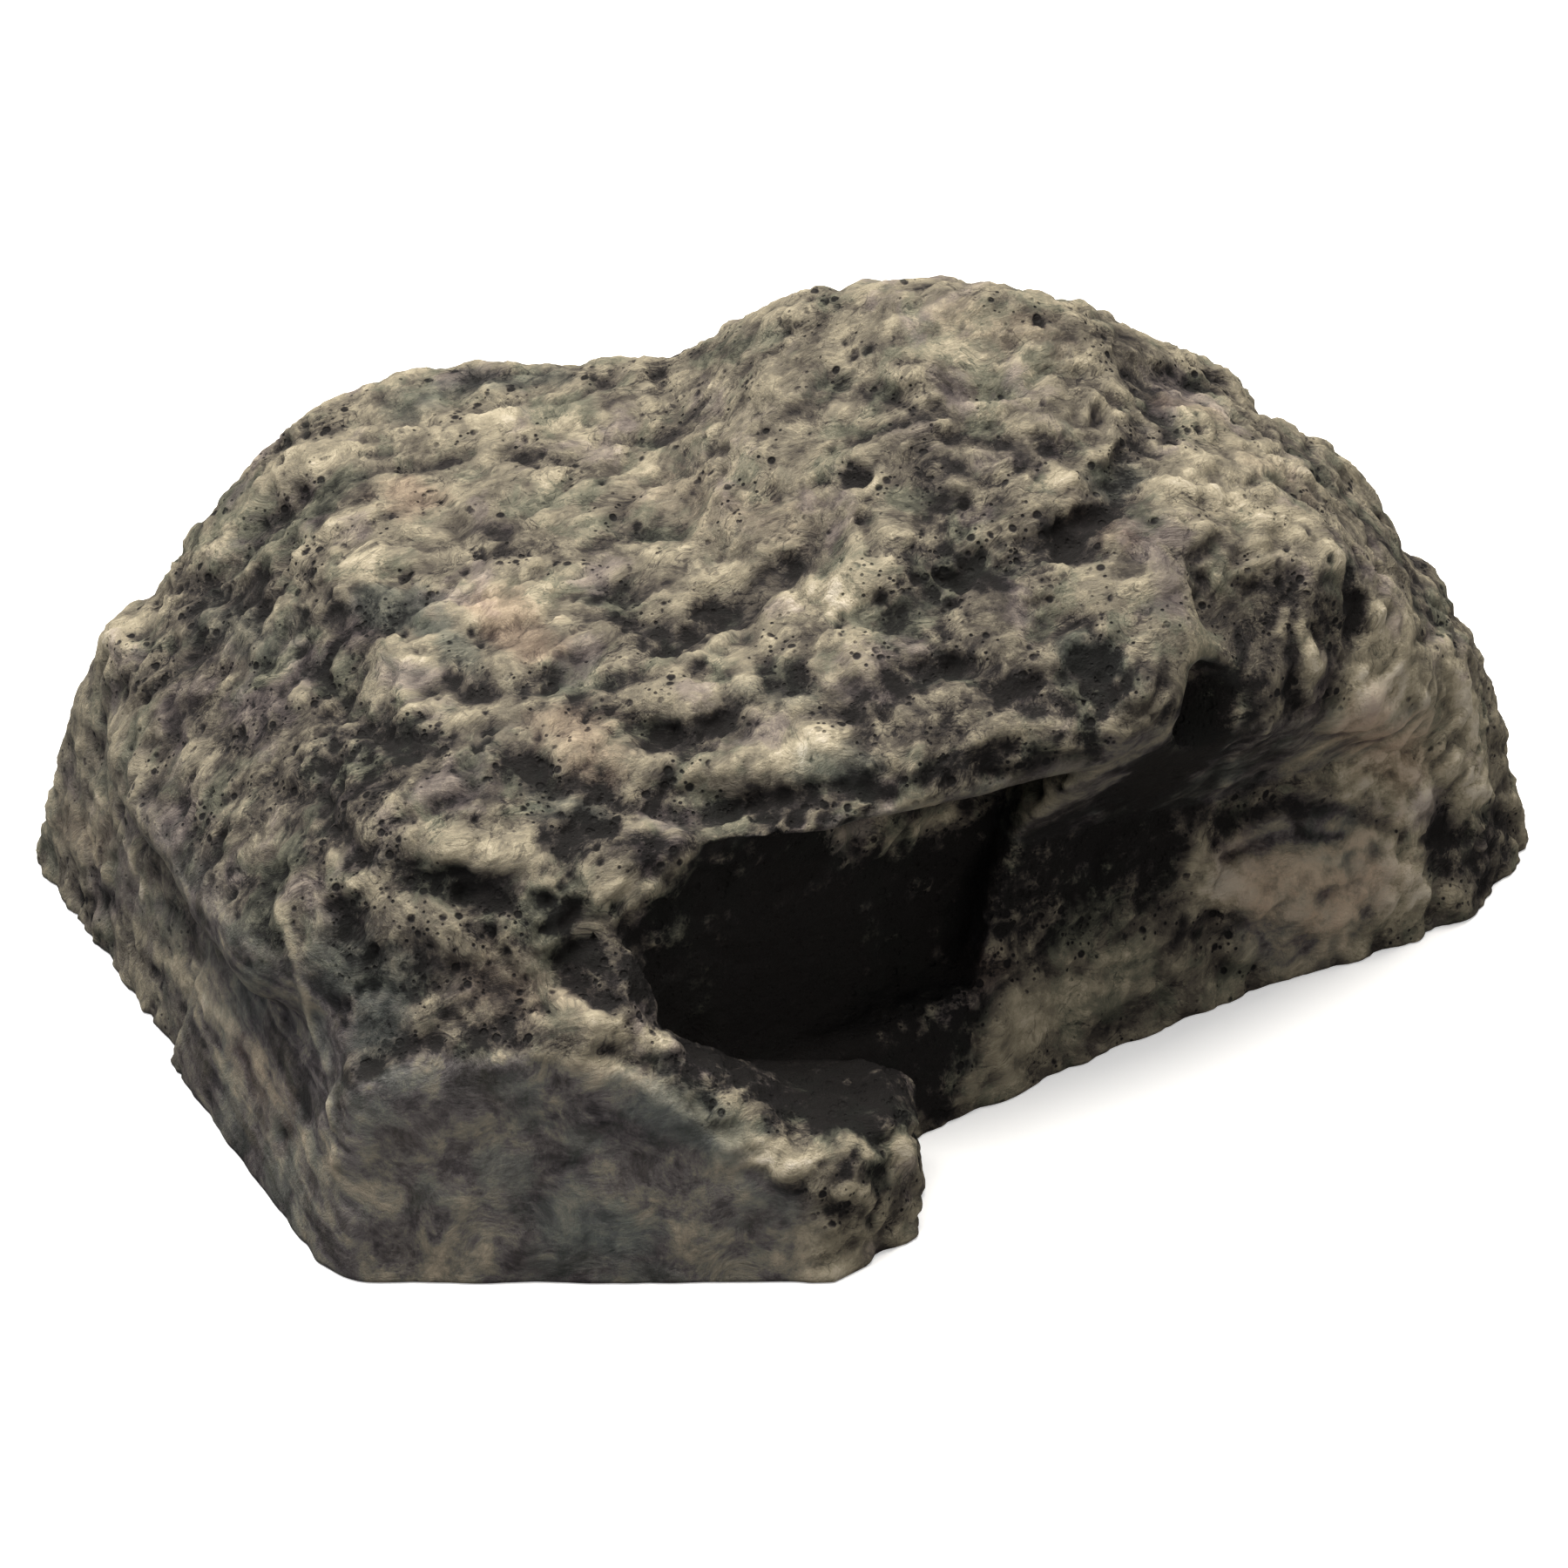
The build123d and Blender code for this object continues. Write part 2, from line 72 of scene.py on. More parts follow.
SEAT_GAP = 0.3                 # room around the plastic inset
GLUE_GAP = 0.4                 # room above the cup
CHANNEL_SIDE = 0.6             # room beside the cover in its way out
CHANNEL_ABOVE = 0.5            # room above it
CHANNEL_LAP = 2.0              # the channel starts this far inside the pocket
CHANNEL_PAST = 5.0             # its cutter runs on this far past the end of the stone
RIM_TOP = 4.4                  # where the stepped pocket narrows to the cup
RAIL_CORNER = 4.5              # corners of the rails and of the cup
CUP_CORNER = 5.5

PAD_CORNER = 4.0
PAD_SWELL = 0.35               # how far the pad's lower face swells
PAD_STEPS = ((0.12, 0.35), (0.22, 0.8), (0.3, 2.0), (0.35, 4.5))  # its rise and how far farther in

# the camera of the photograph, and the picture's size in pixels
CAMERA_DISTANCE = 480.0
CAMERA_TARGET = (4.0, -3.0, 13.4)   # in the front view's axes
CAMERA_ELEVATION = 30.0        # degrees
SENSOR_WIDTH = 36
VIEW_WIDTH = 101.1             # width of the picture at the target
PICTURE = 1800.0

# Regions of the skin, in the front view's axes: x to the right, y away and z up.
BULGE = (37.5, -3, 6)          # middle of the smooth bulge low on the right
BULGE_REACH = (4.5, 7)
HOLLOW = (1, -24, 12)          # middle of the dark hollow, and its half sizes
HOLLOW_SIZE = (14, 10, 10)
LEFT_END_TOP = 18.5            # the chiselled left end reaches up to here
LEFT_END_OUT = (0.9, 0.42)     # how it faces, to the left and to the front
LEFT_END_ALONG = (0.42, -0.91)  # its level direction, which the chisel followed
STREAK_FALL = 0.19             # fall of the chisel streaks along it
FOLD_MIDDLE = 35.5             # the folds that hang below the right end of the top

# Grains of the broken skin: length, width and height, and the slant in degrees.
RIDGE_GRAIN = (10, 5.5, 6.5, 18)
PLATE_GRAIN = (6.5, 4.6, 5, 22)
CREST_GRAIN = (9, 4.2, 5, 25)
GRIT_GRAIN = (2.8, 1.6, 1.8, 20)
SKIN = 0.2                     # thickness of the whole skin laid over the blank
RIDGE_HEIGHT = 0.36
PLATE_HEIGHT = 0.36
CREST_HEIGHT = 0.25
GRIT_HEIGHT = 0.34
SWELL_HEIGHT = 0.3             # slow swellings of the plain walls, about 7 across
STREAK_HEIGHT = 0.2
FOLD_HEIGHT = 0.12

PIT_TRIES = 3800
PIT_RADIUS = (0.3, 0.58)
PIT_DEPTH = (0.5, 0.9)         # as a share of the radius
PIT_CELL = 1.6                 # pits are looked for in cubes of this size
FULL_PIT = 0.45                # a pit this deep is painted wholly dark

FLOOR_HALF = 4.0               # half the floor's side, in metres
FLOOR_GLOW = 0.4               # lightens the floor for the camera, so that only a soft shadow shows
WHITE = (1.0, 1.0, 1.0, 1)     # linear colours of the studio
PAPER_DIM = (0.14, 0.14, 0.14, 1)
SKY_DIM = (0.19, 0.195, 0.20, 1)

random.seed(RANDOM_SEED)


# ---------------------------------------------------------------- small helpers

def srgb(hex_code):
    """Linear colour from an sRGB hex code."""
    values = [int(hex_code[i:i + 2], 16) / 255 for i in (0, 2, 4)]
    linear = [v / 12.92 if v <= 0.04045 else ((v + 0.055) / 1.055) ** 2.4 for v in values]
    return (*linear, 1.0)


def smooth(x, low, high):
    """0 below low, 1 above high, smooth between. With low above high it falls instead."""
    t = np.clip((x - low) / (high - low), 0, 1)
    return t * t * (3 - 2 * t)


def link_object(name, data):
    """A new object in the scene."""
    item = bpy.data.objects.new(name, data)
    bpy.context.scene.collection.objects.link(item)
    return item


def to_mesh(bm, name):
    """The bmesh as a new mesh; the bmesh itself is freed."""
    mesh = bpy.data.meshes.new(name)
    bm.to_mesh(mesh)
    bm.free()
    return mesh


def evaluated_mesh(item):
    """A copy of an object's mesh with its modifiers applied."""
    return bpy.data.meshes.new_from_object(item.evaluated_get(bpy.context.evaluated_depsgraph_get()))


# ---------------------------------------------------------------- the camera

def front_turn():
    """Turn from the front view's axes to the part's frame."""
    return Matrix.Rotation(math.radians(-FRONT_TURN), 3, "Z")


def front_to_part(p):
    """A point in the front view's axes, in millimetres, turned to the part's frame."""
    return front_turn() @ Vector(p) + Vector((*STONE_MIDDLE, 0))


def camera_axes():
    """Place and axes of the camera in the part's frame, in millimetres."""
    lift = math.radians(CAMERA_ELEVATION)
    back = front_turn() @ Vector((0, -math.cos(lift), math.sin(lift)))
    up = front_turn() @ Vector((0, math.sin(lift), math.cos(lift)))
    right = front_turn() @ Vector((1, 0, 0))
    return front_to_part(CAMERA_TARGET) + back * CAMERA_DISTANCE, right, up, back


def make_camera():
    place, right, up, back = camera_axes()
    data = bpy.data.cameras.new("camera")
    data.sensor_width = SENSOR_WIDTH
    data.lens = SENSOR_WIDTH * CAMERA_DISTANCE / VIEW_WIDTH
    data.clip_start = 0.01
    data.clip_end = 20
    camera = link_object("camera", data)
    axes = Matrix((right, up, back)).transposed().to_4x4()
    camera.matrix_world = Matrix.Translation(place * MM) @ axes
    bpy.context.scene.camera = camera


def sight_line(px, py):
    """Start and direction of the line of sight through a point of the photograph."""
    place, right, up, back = camera_axes()
    u = (px / PICTURE - 0.5) * VIEW_WIDTH
    v = (0.5 - py / PICTURE) * VIEW_WIDTH
    return place, (right * u + up * v - back * CAMERA_DISTANCE).normalized()


# ---------------------------------------------------------------- the blank

def box_mesh(bm, low, high, corner=0.0):
    """A box from its low and high corners, with its upright edges rounded."""
    verts = bmesh.ops.create_cube(bm, size=1)["verts"]
    bmesh.ops.scale(bm, vec=[h - l for l, h in zip(low, high)], verts=verts)
    bmesh.ops.translate(bm, vec=[(h + l) / 2 for l, h in zip(low, high)], verts=verts)
    if corner:
        upright = [e for e in {e for v in verts for e in v.link_edges}
                   if abs(e.verts[0].co.z - e.verts[1].co.z) > 1e-6]
        bmesh.ops.bevel(bm, geom=upright, offset=corner, segments=6, profile=0.5,
                        affect="EDGES", material=-1)


def hollows(room, depth):
    """The pocket's steps and the cover's way out, as (low, high, corner), read off the CAD pieces."""
    rails = [Vector(c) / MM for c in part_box("rail_frame")]
    cover = [Vector(c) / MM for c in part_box("slide_cover")]
    cup = np.array([v.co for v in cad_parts["key_box"].data.vertices]) / MM
    cup = cup[cup[:, 2] > RIM_TOP + 0.05]
    stone_end = cad_box[1][0] / MM
    channel_end = stone_end + CHANNEL_PAST if room == 0 else stone_end - 0.5
    gap = SEAT_GAP + room
    side = CHANNEL_SIDE + room
    seat = ((rails[0].x - gap, rails[0].y - gap, -depth),
            (rails[1].x + gap, rails[1].y + gap, RIM_TOP + room),
            RAIL_CORNER + gap)
    bore = ((cup[:, 0].min() - gap, cup[:, 1].min() - gap, -depth),
            (cup[:, 0].max() + gap, cup[:, 1].max() + gap, cup[:, 2].max() + GLUE_GAP + room),
            CUP_CORNER + gap)
    channel = ((rails[1].x - CHANNEL_LAP, cover[0].y - side, -depth),
               (channel_end, cover[1].y + side, cover[1].z + CHANNEL_ABOVE + room),
               0)
    return [seat, bore, channel]


def stone_blank():
    """The CAD stone with its pocket filled and its foot run on downward, remeshed evenly."""
    bm = bmesh.new()
    bm.from_mesh(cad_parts["rock_shell"].data)
    bmesh.ops.remove_doubles(bm, verts=bm.verts, dist=1e-6)
    bmesh.ops.scale(bm, vec=(1 / MM, 1 / MM, 1 / MM), verts=bm.verts)
    bm.normal_update()
    base = [f for f in bm.faces if f.normal.z < -0.99 and f.calc_center_median().z < 0.01]
    pulled = bmesh.ops.extrude_face_region(bm, geom=base)
    moved = [g for g in pulled["geom"] if isinstance(g, bmesh.types.BMVert)]
    bmesh.ops.translate(bm, vec=(0, 0, -BLANK_DEPTH), verts=moved)
    bmesh.ops.delete(bm, geom=[f for f in base if f.is_valid], context="FACES_ONLY")
    for low, high, _ in hollows(FILLING, BLANK_DEPTH - 0.5):
        box_mesh(bm, low, high)
    bmesh.ops.recalc_face_normals(bm, faces=bm.faces)
    temp = link_object("blank", to_mesh(bm, "blank"))
    remesh = temp.modifiers.new("remesh", "REMESH")
    remesh.mode = "VOXEL"
    remesh.voxel_size = VOXEL
    result = evaluated_mesh(temp)
    bpy.data.objects.remove(temp)
    return result


# ---------------------------------------------------------------- points, averages and noise

def read_points(mesh, key):
    """Places (co) or normals (normal) of all vertices, one to a row."""
    values = np.empty(len(mesh.vertices) * 3)
    mesh.vertices.foreach_get(key, values)
    return values.reshape(-1, 3)


def move_points(mesh, co):
    """Puts the vertices in their new places. Returns the new normals."""
    mesh.vertices.foreach_set("co", co.ravel())
    mesh.update()
    return read_points(mesh, "normal")


class Neighbours:
    """Averages over each vertex's neighbours."""

    def __init__(self, mesh):
        edges = np.empty(len(mesh.edges) * 2, dtype=np.int64)
        mesh.edges.foreach_get("vertices", edges)
        self.a = np.concatenate([edges[0::2], edges[1::2]])
        self.b = np.concatenate([edges[1::2], edges[0::2]])
        self.count = np.bincount(self.a, minlength=len(mesh.vertices))

    def mean(self, values):
        if values.ndim == 1:
            return np.bincount(self.a, values[self.b], len(self.count)) / self.count
        return np.stack([self.mean(values[:, i]) for i in range(values.shape[1])], axis=1)

    def blur(self, values, times, amount=0.5):
        weight = amount if np.isscalar(amount) else amount[:, None]
        for _ in range(times):
            values = values + (self.mean(values) - values) * weight
        return values


def field(points, shift=Vector((0, 0, 0))):
    """Noise from -1 to 1, read at every point."""
    return np.array([noise.noise(Vector(p) + shift) for p in points])


def to_front(values, middle=(0, 0)):
    """Points about a middle, or directions, turned from the part's frame to the front view's axes."""
    t = math.radians(FRONT_TURN)
    x, y = values[:, 0] - middle[0], values[:, 1] - middle[1]
    return np.stack([x * math.cos(t) - y * math.sin(t), x * math.sin(t) + y * math.cos(t), values[:, 2]],
                    axis=1)


def stretched(p, along, across, up, angle):
    """Points for a grain that runs level at an angle to the front, in grains of the given sizes."""
    t = math.radians(angle)
    u = p[:, 0] * math.cos(t) + p[:, 1] * math.sin(t)
    v = -p[:, 0] * math.sin(t) + p[:, 1] * math.cos(t)
    return np.stack([u / along, v / across, p[:, 2] / up], axis=1)


LUMP_SHIFT = Vector((13.7, -5.1, 9.4))
FINE_SHARE = 0.55
LUMP_SCALE = 2.2               # brings the tops of the lumps to about 1


def lumps(points):
    """Rounded lumps with sharp creases between them, from 0 in the creases to about 1."""
    coarse = np.abs(field(points))
    fine = np.abs(field(points * 2.0, LUMP_SHIFT))
    return (coarse + fine * FINE_SHARE) / (1 + FINE_SHARE) * LUMP_SCALE


# ---------------------------------------------------------------- strokes on the skin

# What stands out in the photograph: strokes followed over the surface by the line of sight.
# Each has its points in photograph pixels, its half width and height in millimetres (negative is
# cut in) and its tone (negative is dark): the paint's own tone in some lists, painted light and
# shade in others.
# Creases of the top, dark and pitted.
CREASES = [
    ([(690, 680), (723, 690), (770, 745), (850, 700), (900, 655)], 1.5, -0.5, -1.0),
    ([(670, 805), (730, 840), (800, 850), (840, 830)], 1.7, -0.4, -1.0),
    ([(285, 620), (345, 578), (380, 565)], 2.2, -0.5, -1.0),
    ([(205, 655), (255, 678), (300, 690)], 1.7, -0.6, -1.0),
    ([(425, 705), (505, 676)], 1.9, -0.4, -0.7),
    ([(320, 740), (367, 768), (402, 825), (471, 860)], 2.0, -0.3, -0.8),
    ([(1330, 480), (1295, 540), (1270, 592), (1224, 621)], 2.0, -0.6, -1.2),
    ([(1224, 621), (1160, 650), (1091, 656)], 1.7, -0.4, -0.8),
    ([(1300, 440), (1400, 440)], 1.2, -0.5, -1.0),
    ([(1240, 720), (1262, 785)], 1.3, -0.7, -1.1),
    ([(1010, 795), (1091, 760), (1177, 800), (1247, 829)], 1.5, -0.3, -0.8),
    ([(600, 520), (690, 535), (760, 500)], 1.2, -0.3, -0.5),
    ([(880, 480), (960, 440), (1060, 470)], 1.3, -0.4, -0.7),
    ([(1110, 500), (1180, 520), (1260, 500)], 1.2, -0.4, -0.8),
    ([(560, 610), (650, 640), (760, 610)], 1.2, -0.3, -0.5),
    ([(1055, 545), (1085, 640), (1050, 700)], 2.2, -0.4, -0.6),
    ([(978, 545), (986, 547)], 0.8, -0.8, -2.2),
    ([(1000, 556), (996, 568)], 0.5, 0.2, 1.2),
    ([(800, 690), (812, 692)], 0.8, -0.7, -1.8),
    ([(1245, 745), (1262, 770)], 0.9, -0.6, -1.4),
    ([(500, 780), (590, 790), (650, 765)], 1.3, -0.4, -0.7),
    ([(590, 880), (650, 900), (760, 890)], 1.3, -0.5, -0.9),
    ([(885, 760), (950, 800), (1000, 850)], 1.3, -0.4, -0.9),
    ([(150, 860), (215, 830), (280, 860)], 1.4, -0.3, -0.6),
    ([(410, 1075), (470, 1110), (440, 1180)], 1.9, -0.3, -0.7),
    ([(560, 1060), (640, 1090), (690, 1150)], 1.3, -0.4, -0.7),
    ([(700, 780), (790, 760), (860, 790)], 1.1, -0.3, -0.7),
    ([(930, 720), (900, 790)], 1.2, -0.3, -0.8),
    ([(670, 962), (760, 965), (840, 950), (905, 965)], 2.0, -0.2, -1.0),
    ([(690, 1010), (780, 1000), (850, 985)], 1.9, -0.2, -0.5),
]

# Broad shades of the paint.
SHADES = [
    ([(1040, 540), (1045, 640), (1030, 740), (1060, 840)], 4.2, 0.0, -0.6),
    ([(1120, 560), (1180, 600), (1150, 680)], 3.2, 0.0, -0.45),
    ([(1120, 850), (1180, 800), (1270, 790)], 3.4, 0.0, -0.55),
    ([(1260, 830), (1320, 770)], 2.4, 0.0, -0.4),
    ([(320, 640), (370, 690), (400, 740)], 3.2, 0.0, -0.5),
    ([(320, 545), (370, 510)], 2.2, 0.1, 0.5),
    ([(225, 640), (270, 620)], 2.0, 0.1, 0.4),
    ([(250, 930), (340, 960), (430, 930)], 3.6, 0.0, -0.45),
    ([(420, 850), (480, 870), (560, 870)], 3.2, 0.0, -0.5),
    ([(520, 900), (560, 880)], 2.4, 0.0, -0.3),
    ([(215, 1010), (270, 1060)], 2.4, 0.0, -0.45),
    ([(1540, 610), (1580, 680), (1560, 740)], 2.6, 0.0, -0.45),
    ([(1640, 660), (1670, 740)], 2.2, 0.0, -0.3),
    ([(1520, 860), (1560, 900), (1540, 940)], 2.6, 0.0, 1.0),
    ([(1550, 790), (1590, 840), (1600, 880)], 2.4, 0.0, 0.7),
    ([(1610, 720), (1650, 780)], 2.2, 0.0, -0.5),
    ([(1520, 640), (1560, 680)], 2.0, 0.0, -0.5),
    ([(1330, 740), (1370, 780)], 2.2, 0.0, -0.4),
    ([(640, 540), (690, 560)], 2.4, 0.0, 0.2),
    ([(900, 740), (960, 790)], 2.4, 0.0, -0.3),
    ([(380, 700), (430, 740)], 2.4, 0.0, -0.3),
    ([(720, 740), (760, 790)], 2.4, 0.0, -0.2),
    ([(950, 730), (990, 760)], 1.6, 0.0, -0.2),
    ([(420, 1240), (500, 1260)], 2.0, 0.0, -0.4),
    ([(530, 930), (590, 940)], 2.0, 0.0, -0.25),
    ([(700, 520), (760, 540)], 2.0, 0.0, 0.4),
    ([(1030, 350), (1090, 370)], 2.4, 0.0, 0.9),
    ([(1320, 420), (1380, 460)], 1.6, 0.0, 0.4),
    ([(700, 1000), (780, 1060)], 1.6, 0.0, 0.5),
    ([(620, 830), (740, 860), (830, 870)], 2.6, 0.0, -0.25),
    ([(460, 1450), (560, 1455)], 2.0, 0.0, 0.4),
    ([(1715, 905), (1735, 930)], 1.6, 0.0, 0.6),
    ([(1640, 500), (1600, 440), (1540, 420)], 1.6, 0.0, -0.3),
    ([(110, 830), (160, 850), (230, 850)], 2.6, 0.0, 0.5),
    ([(130, 740), (160, 720)], 2.0, 0.0, 0.5),
    ([(240, 640), (240, 680)], 2.0, 0.0, 0.5),
    ([(330, 950), (390, 970)], 2.2, 0.0, 0.5),
    ([(710, 1030), (770, 1050)], 1.4, 0.0, 0.9),
    ([(300, 1320), (350, 1340)], 1.6, 0.0, 0.5),
    ([(1030, 1320), (1060, 1350)], 1.2, 0.0, 0.9),
    ([(1020, 550), (1070, 570)], 2.2, 0.0, 0.7),
    ([(560, 560), (640, 590)], 3.0, 0.0, 0.2),
    ([(620, 450), (690, 455)], 2.0, 0.0, -0.5),
    ([(730, 540), (780, 580)], 2.2, 0.0, 0.4),
    ([(740, 660), (790, 720), (740, 740)], 2.4, 0.0, -0.4),
    ([(1120, 540), (1180, 560)], 2.4, 0.0, -0.3),
    ([(330, 1130), (350, 1170)], 1.6, 0.0, 0.7),
    ([(340, 1340), (370, 1380)], 1.6, 0.0, 0.5),
    ([(430, 1450), (520, 1455)], 2.4, 0.0, 0.75),
    ([(720, 1450), (820, 1450), (950, 1435)], 2.2, 0.0, 0.5),
    ([(1200, 345), (1260, 375)], 1.6, 0.0, 0.5),
]

# The rim's undercut and the hollow's upper edge: cut in, and darkened with painted shade under the lip.
UNDERCUT_SHADE = [
    ([(1000, 905), (1100, 885), (1250, 862), (1340, 830)], 1.3, -0.2, -0.9),
    ([(640, 955), (700, 925), (800, 915), (895, 925), (985, 905)], 1.5, -0.4, -1.3),
    ([(520, 1015), (590, 1035), (660, 1045)], 1.2, -0.5, -1.4),
    ([(400, 985), (470, 1000), (520, 1015)], 1.1, -0.4, -0.9),
    ([(690, 1090), (760, 1050), (840, 1020), (930, 990)], 1.3, -0.5, -0.6),
    ([(730, 1110), (790, 1180), (800, 1240)], 1.2, -0.3, -1.2),
]

# Bright lips and bosses.
LIPS = [
    ([(505, 950), (560, 962), (615, 980)], 1.9, 0.3, 0.35),
    ([(800, 905), (870, 878), (960, 850)], 1.4, 0.4, 1.0),
    ([(520, 680), (603, 695)], 2.2, 0.3, 0.8),
    ([(455, 480), (570, 492)], 2.2, 0.2, 0.6),
    ([(650, 460), (700, 470)], 1.3, 0.2, 0.2),
    ([(905, 690), (965, 680), (1010, 665)], 1.7, 0.4, 0.9),
    ([(950, 700), (975, 770)], 1.9, 0.3, 0.9),
    ([(830, 650), (880, 665)], 1.4, 0.3, 0.8),
    ([(1515, 640), (1535, 646)], 1.1, 0.45, 0.9),
    ([(1340, 560), (1430, 590), (1500, 620)], 2.0, 0.3, 0.7),
    ([(1400, 500), (1480, 545)], 1.8, 0.3, 0.6),
    ([(1340, 470), (1400, 480)], 1.1, 0.3, 0.7),
    ([(1200, 560), (1250, 545)], 1.5, 0.3, 0.5),
    ([(1000, 620), (1060, 610)], 1.4, 0.3, 0.5),
    ([(390, 650), (420, 640)], 1.3, 0.3, 0.7),
    ([(470, 755), (490, 765)], 0.8, 0.4, 1.0),
    ([(610, 830), (690, 870)], 2.2, 0.2, 0.3),
    ([(300, 860), (240, 900), (300, 960)], 2.2, 0.2, 0.3),
    ([(600, 1110), (670, 1160)], 2.0, 0.2, 0.5),
    ([(690, 1175), (740, 1190), (780, 1200)], 1.0, 0.3, 1.0),
    ([(1500, 760), (1560, 800), (1620, 850)], 2.0, 0.3, 0.5),
    ([(1610, 720), (1680, 800)], 1.8, 0.3, 0.4),
]

# The foot: its bright right lip, the pits of its round end, the line over its smooth front.
FOOT = [
    ([(835, 1318), (890, 1325), (945, 1340)], 0.9, 0.3, 1.5),
    ([(950, 1350), (985, 1340), (1010, 1350)], 1.0, -0.4, -1.6),
    ([(960, 1390), (1000, 1400)], 0.9, -0.4, -1.4),
    ([(380, 1245), (480, 1205), (600, 1190), (700, 1198), (780, 1245)], 0.9, -0.2, -0.9),
    ([(380, 1270), (480, 1222), (600, 1210), (700, 1222), (790, 1275)], 0.4, 0.12, 0.8),
    ([(840, 1295), (910, 1300), (990, 1315)], 0.8, 0.0, 0.3),
    ([(500, 1280), (560, 1330), (540, 1400)], 2.4, 0.0, 0.5),
    ([(420, 1380), (480, 1340)], 2.0, 0.0, 0.35),
    ([(640, 1280), (700, 1300)], 1.8, 0.0, -0.5),
    ([(700, 1390), (780, 1400), (840, 1380)], 2.2, 0.0, 0.5),
]

# The left end: its light arris, dark valley and pale patches.
LEFT_END = [
    ([(321, 1046), (356, 1166), (379, 1235), (385, 1339)], 0.5, 0.3, 1.0),
    ([(180, 900), (260, 1010), (325, 1110), (350, 1260)], 1.4, -0.25, -0.7),
    ([(60, 930), (100, 960), (150, 985)], 2.0, 0.2, 0.4),
    ([(200, 1110), (260, 1180), (310, 1260)], 1.8, 0.1, 0.7),
    ([(90, 880), (140, 950), (165, 1020)], 0.5, 0.15, 1.1),
    ([(130, 1050), (220, 1130), (300, 1215)], 0.6, 0.15, 1.0),
    ([(165, 1020), (215, 1025), (265, 1060)], 0.5, 0.1, 0.9),
    ([(225, 1170), (300, 1290), (350, 1390)], 0.5, 0.1, 0.9),
    ([(110, 1010), (170, 1100), (250, 1210)], 0.8, -0.15, -0.9),
]

# The steep front between the rim and the foot lies in shade.
FRONT_SHADE = [
    ([(360, 1020), (420, 1060), (520, 1100), (620, 1130)], 4.2, 0.0, -0.55),
    ([(350, 1150), (430, 1180), (560, 1170)], 3.4, 0.0, -0.35),
    ([(210, 740), (230, 800), (330, 860), (400, 920)], 4.5, 0.0, -0.7),
    ([(125, 790), (170, 740), (210, 700)], 2.0, -0.1, -0.6),
]

# The dark hollow, the wall beside it and what hangs over them: painted shade in the hollow and on
# the wall under the lip, a painted sheen under the lip, and painted light on the knob, on pale
# patches of the wall and on the lumps of the right end.
HOLLOW_SHADE = [
    # painted shade: the hollow near black, the wall beside it and under the lip dark
    ([(800, 1120), (880, 1160), (950, 1220), (880, 1080)], 7.5, 0.0, -2.4),
    ([(1118, 960), (1125, 1040), (1112, 1110), (1090, 1200), (1075, 1240)], 1.9, 0.0, -1.3),
    ([(820, 1225), (890, 1262), (980, 1285)], 2.6, 0.0, -2.0),
    ([(420, 1235), (520, 1215), (600, 1240)], 2.0, 0.0, -0.5),
    ([(1200, 1215), (1260, 1190)], 2.0, 0.0, -0.4),
    ([(200, 1040), (260, 1070)], 1.6, 0.0, -0.5),
    ([(120, 1110), (180, 1150)], 1.6, 0.0, 0.5),
    # painted light on the knob, standing in for fill light
    ([(980, 1330), (1000, 1400), (940, 1430)], 2.2, 0.0, 0.7),
    ([(1680, 920), (1710, 890)], 1.6, 0.0, 0.7),
    ([(950, 1140), (1000, 1190), (1040, 1230)], 3.0, 0.0, -0.8),
    ([(960, 1040), (1000, 1120), (1020, 1200)], 6.0, 0.0, -1.2),
    ([(1050, 1010), (1180, 980), (1300, 950), (1350, 880)], 4.5, 0.0, -1.6),
    ([(1080, 1120), (1150, 1080), (1250, 1060)], 4.5, 0.0, -0.5),
    ([(1300, 900), (1380, 830), (1450, 760), (1490, 700)], 3.2, 0.0, -1.5),
    ([(1420, 900), (1470, 840), (1520, 780)], 2.6, 0.0, -0.9),
    # painted sheen: a pale streak on the underside of the lip
    ([(900, 1040), (990, 985), (1090, 935)], 1.0, 0.1, 1.3),
    # painted light on the pale patches of the wall
    ([(1160, 1180), (1230, 1130), (1300, 1110)], 2.0, 0.2, 0.9),
    ([(1090, 1220), (1180, 1210)], 1.2, 0.1, 0.5),
    ([(1310, 1060), (1380, 1110)], 1.8, 0.1, 0.6),
    ([(1560, 690), (1530, 800)], 1.2, -0.3, -0.8),
    # painted light on the lumps of the right end
    ([(1590, 690), (1640, 780), (1690, 850)], 3.6, 0.0, 0.55),
]
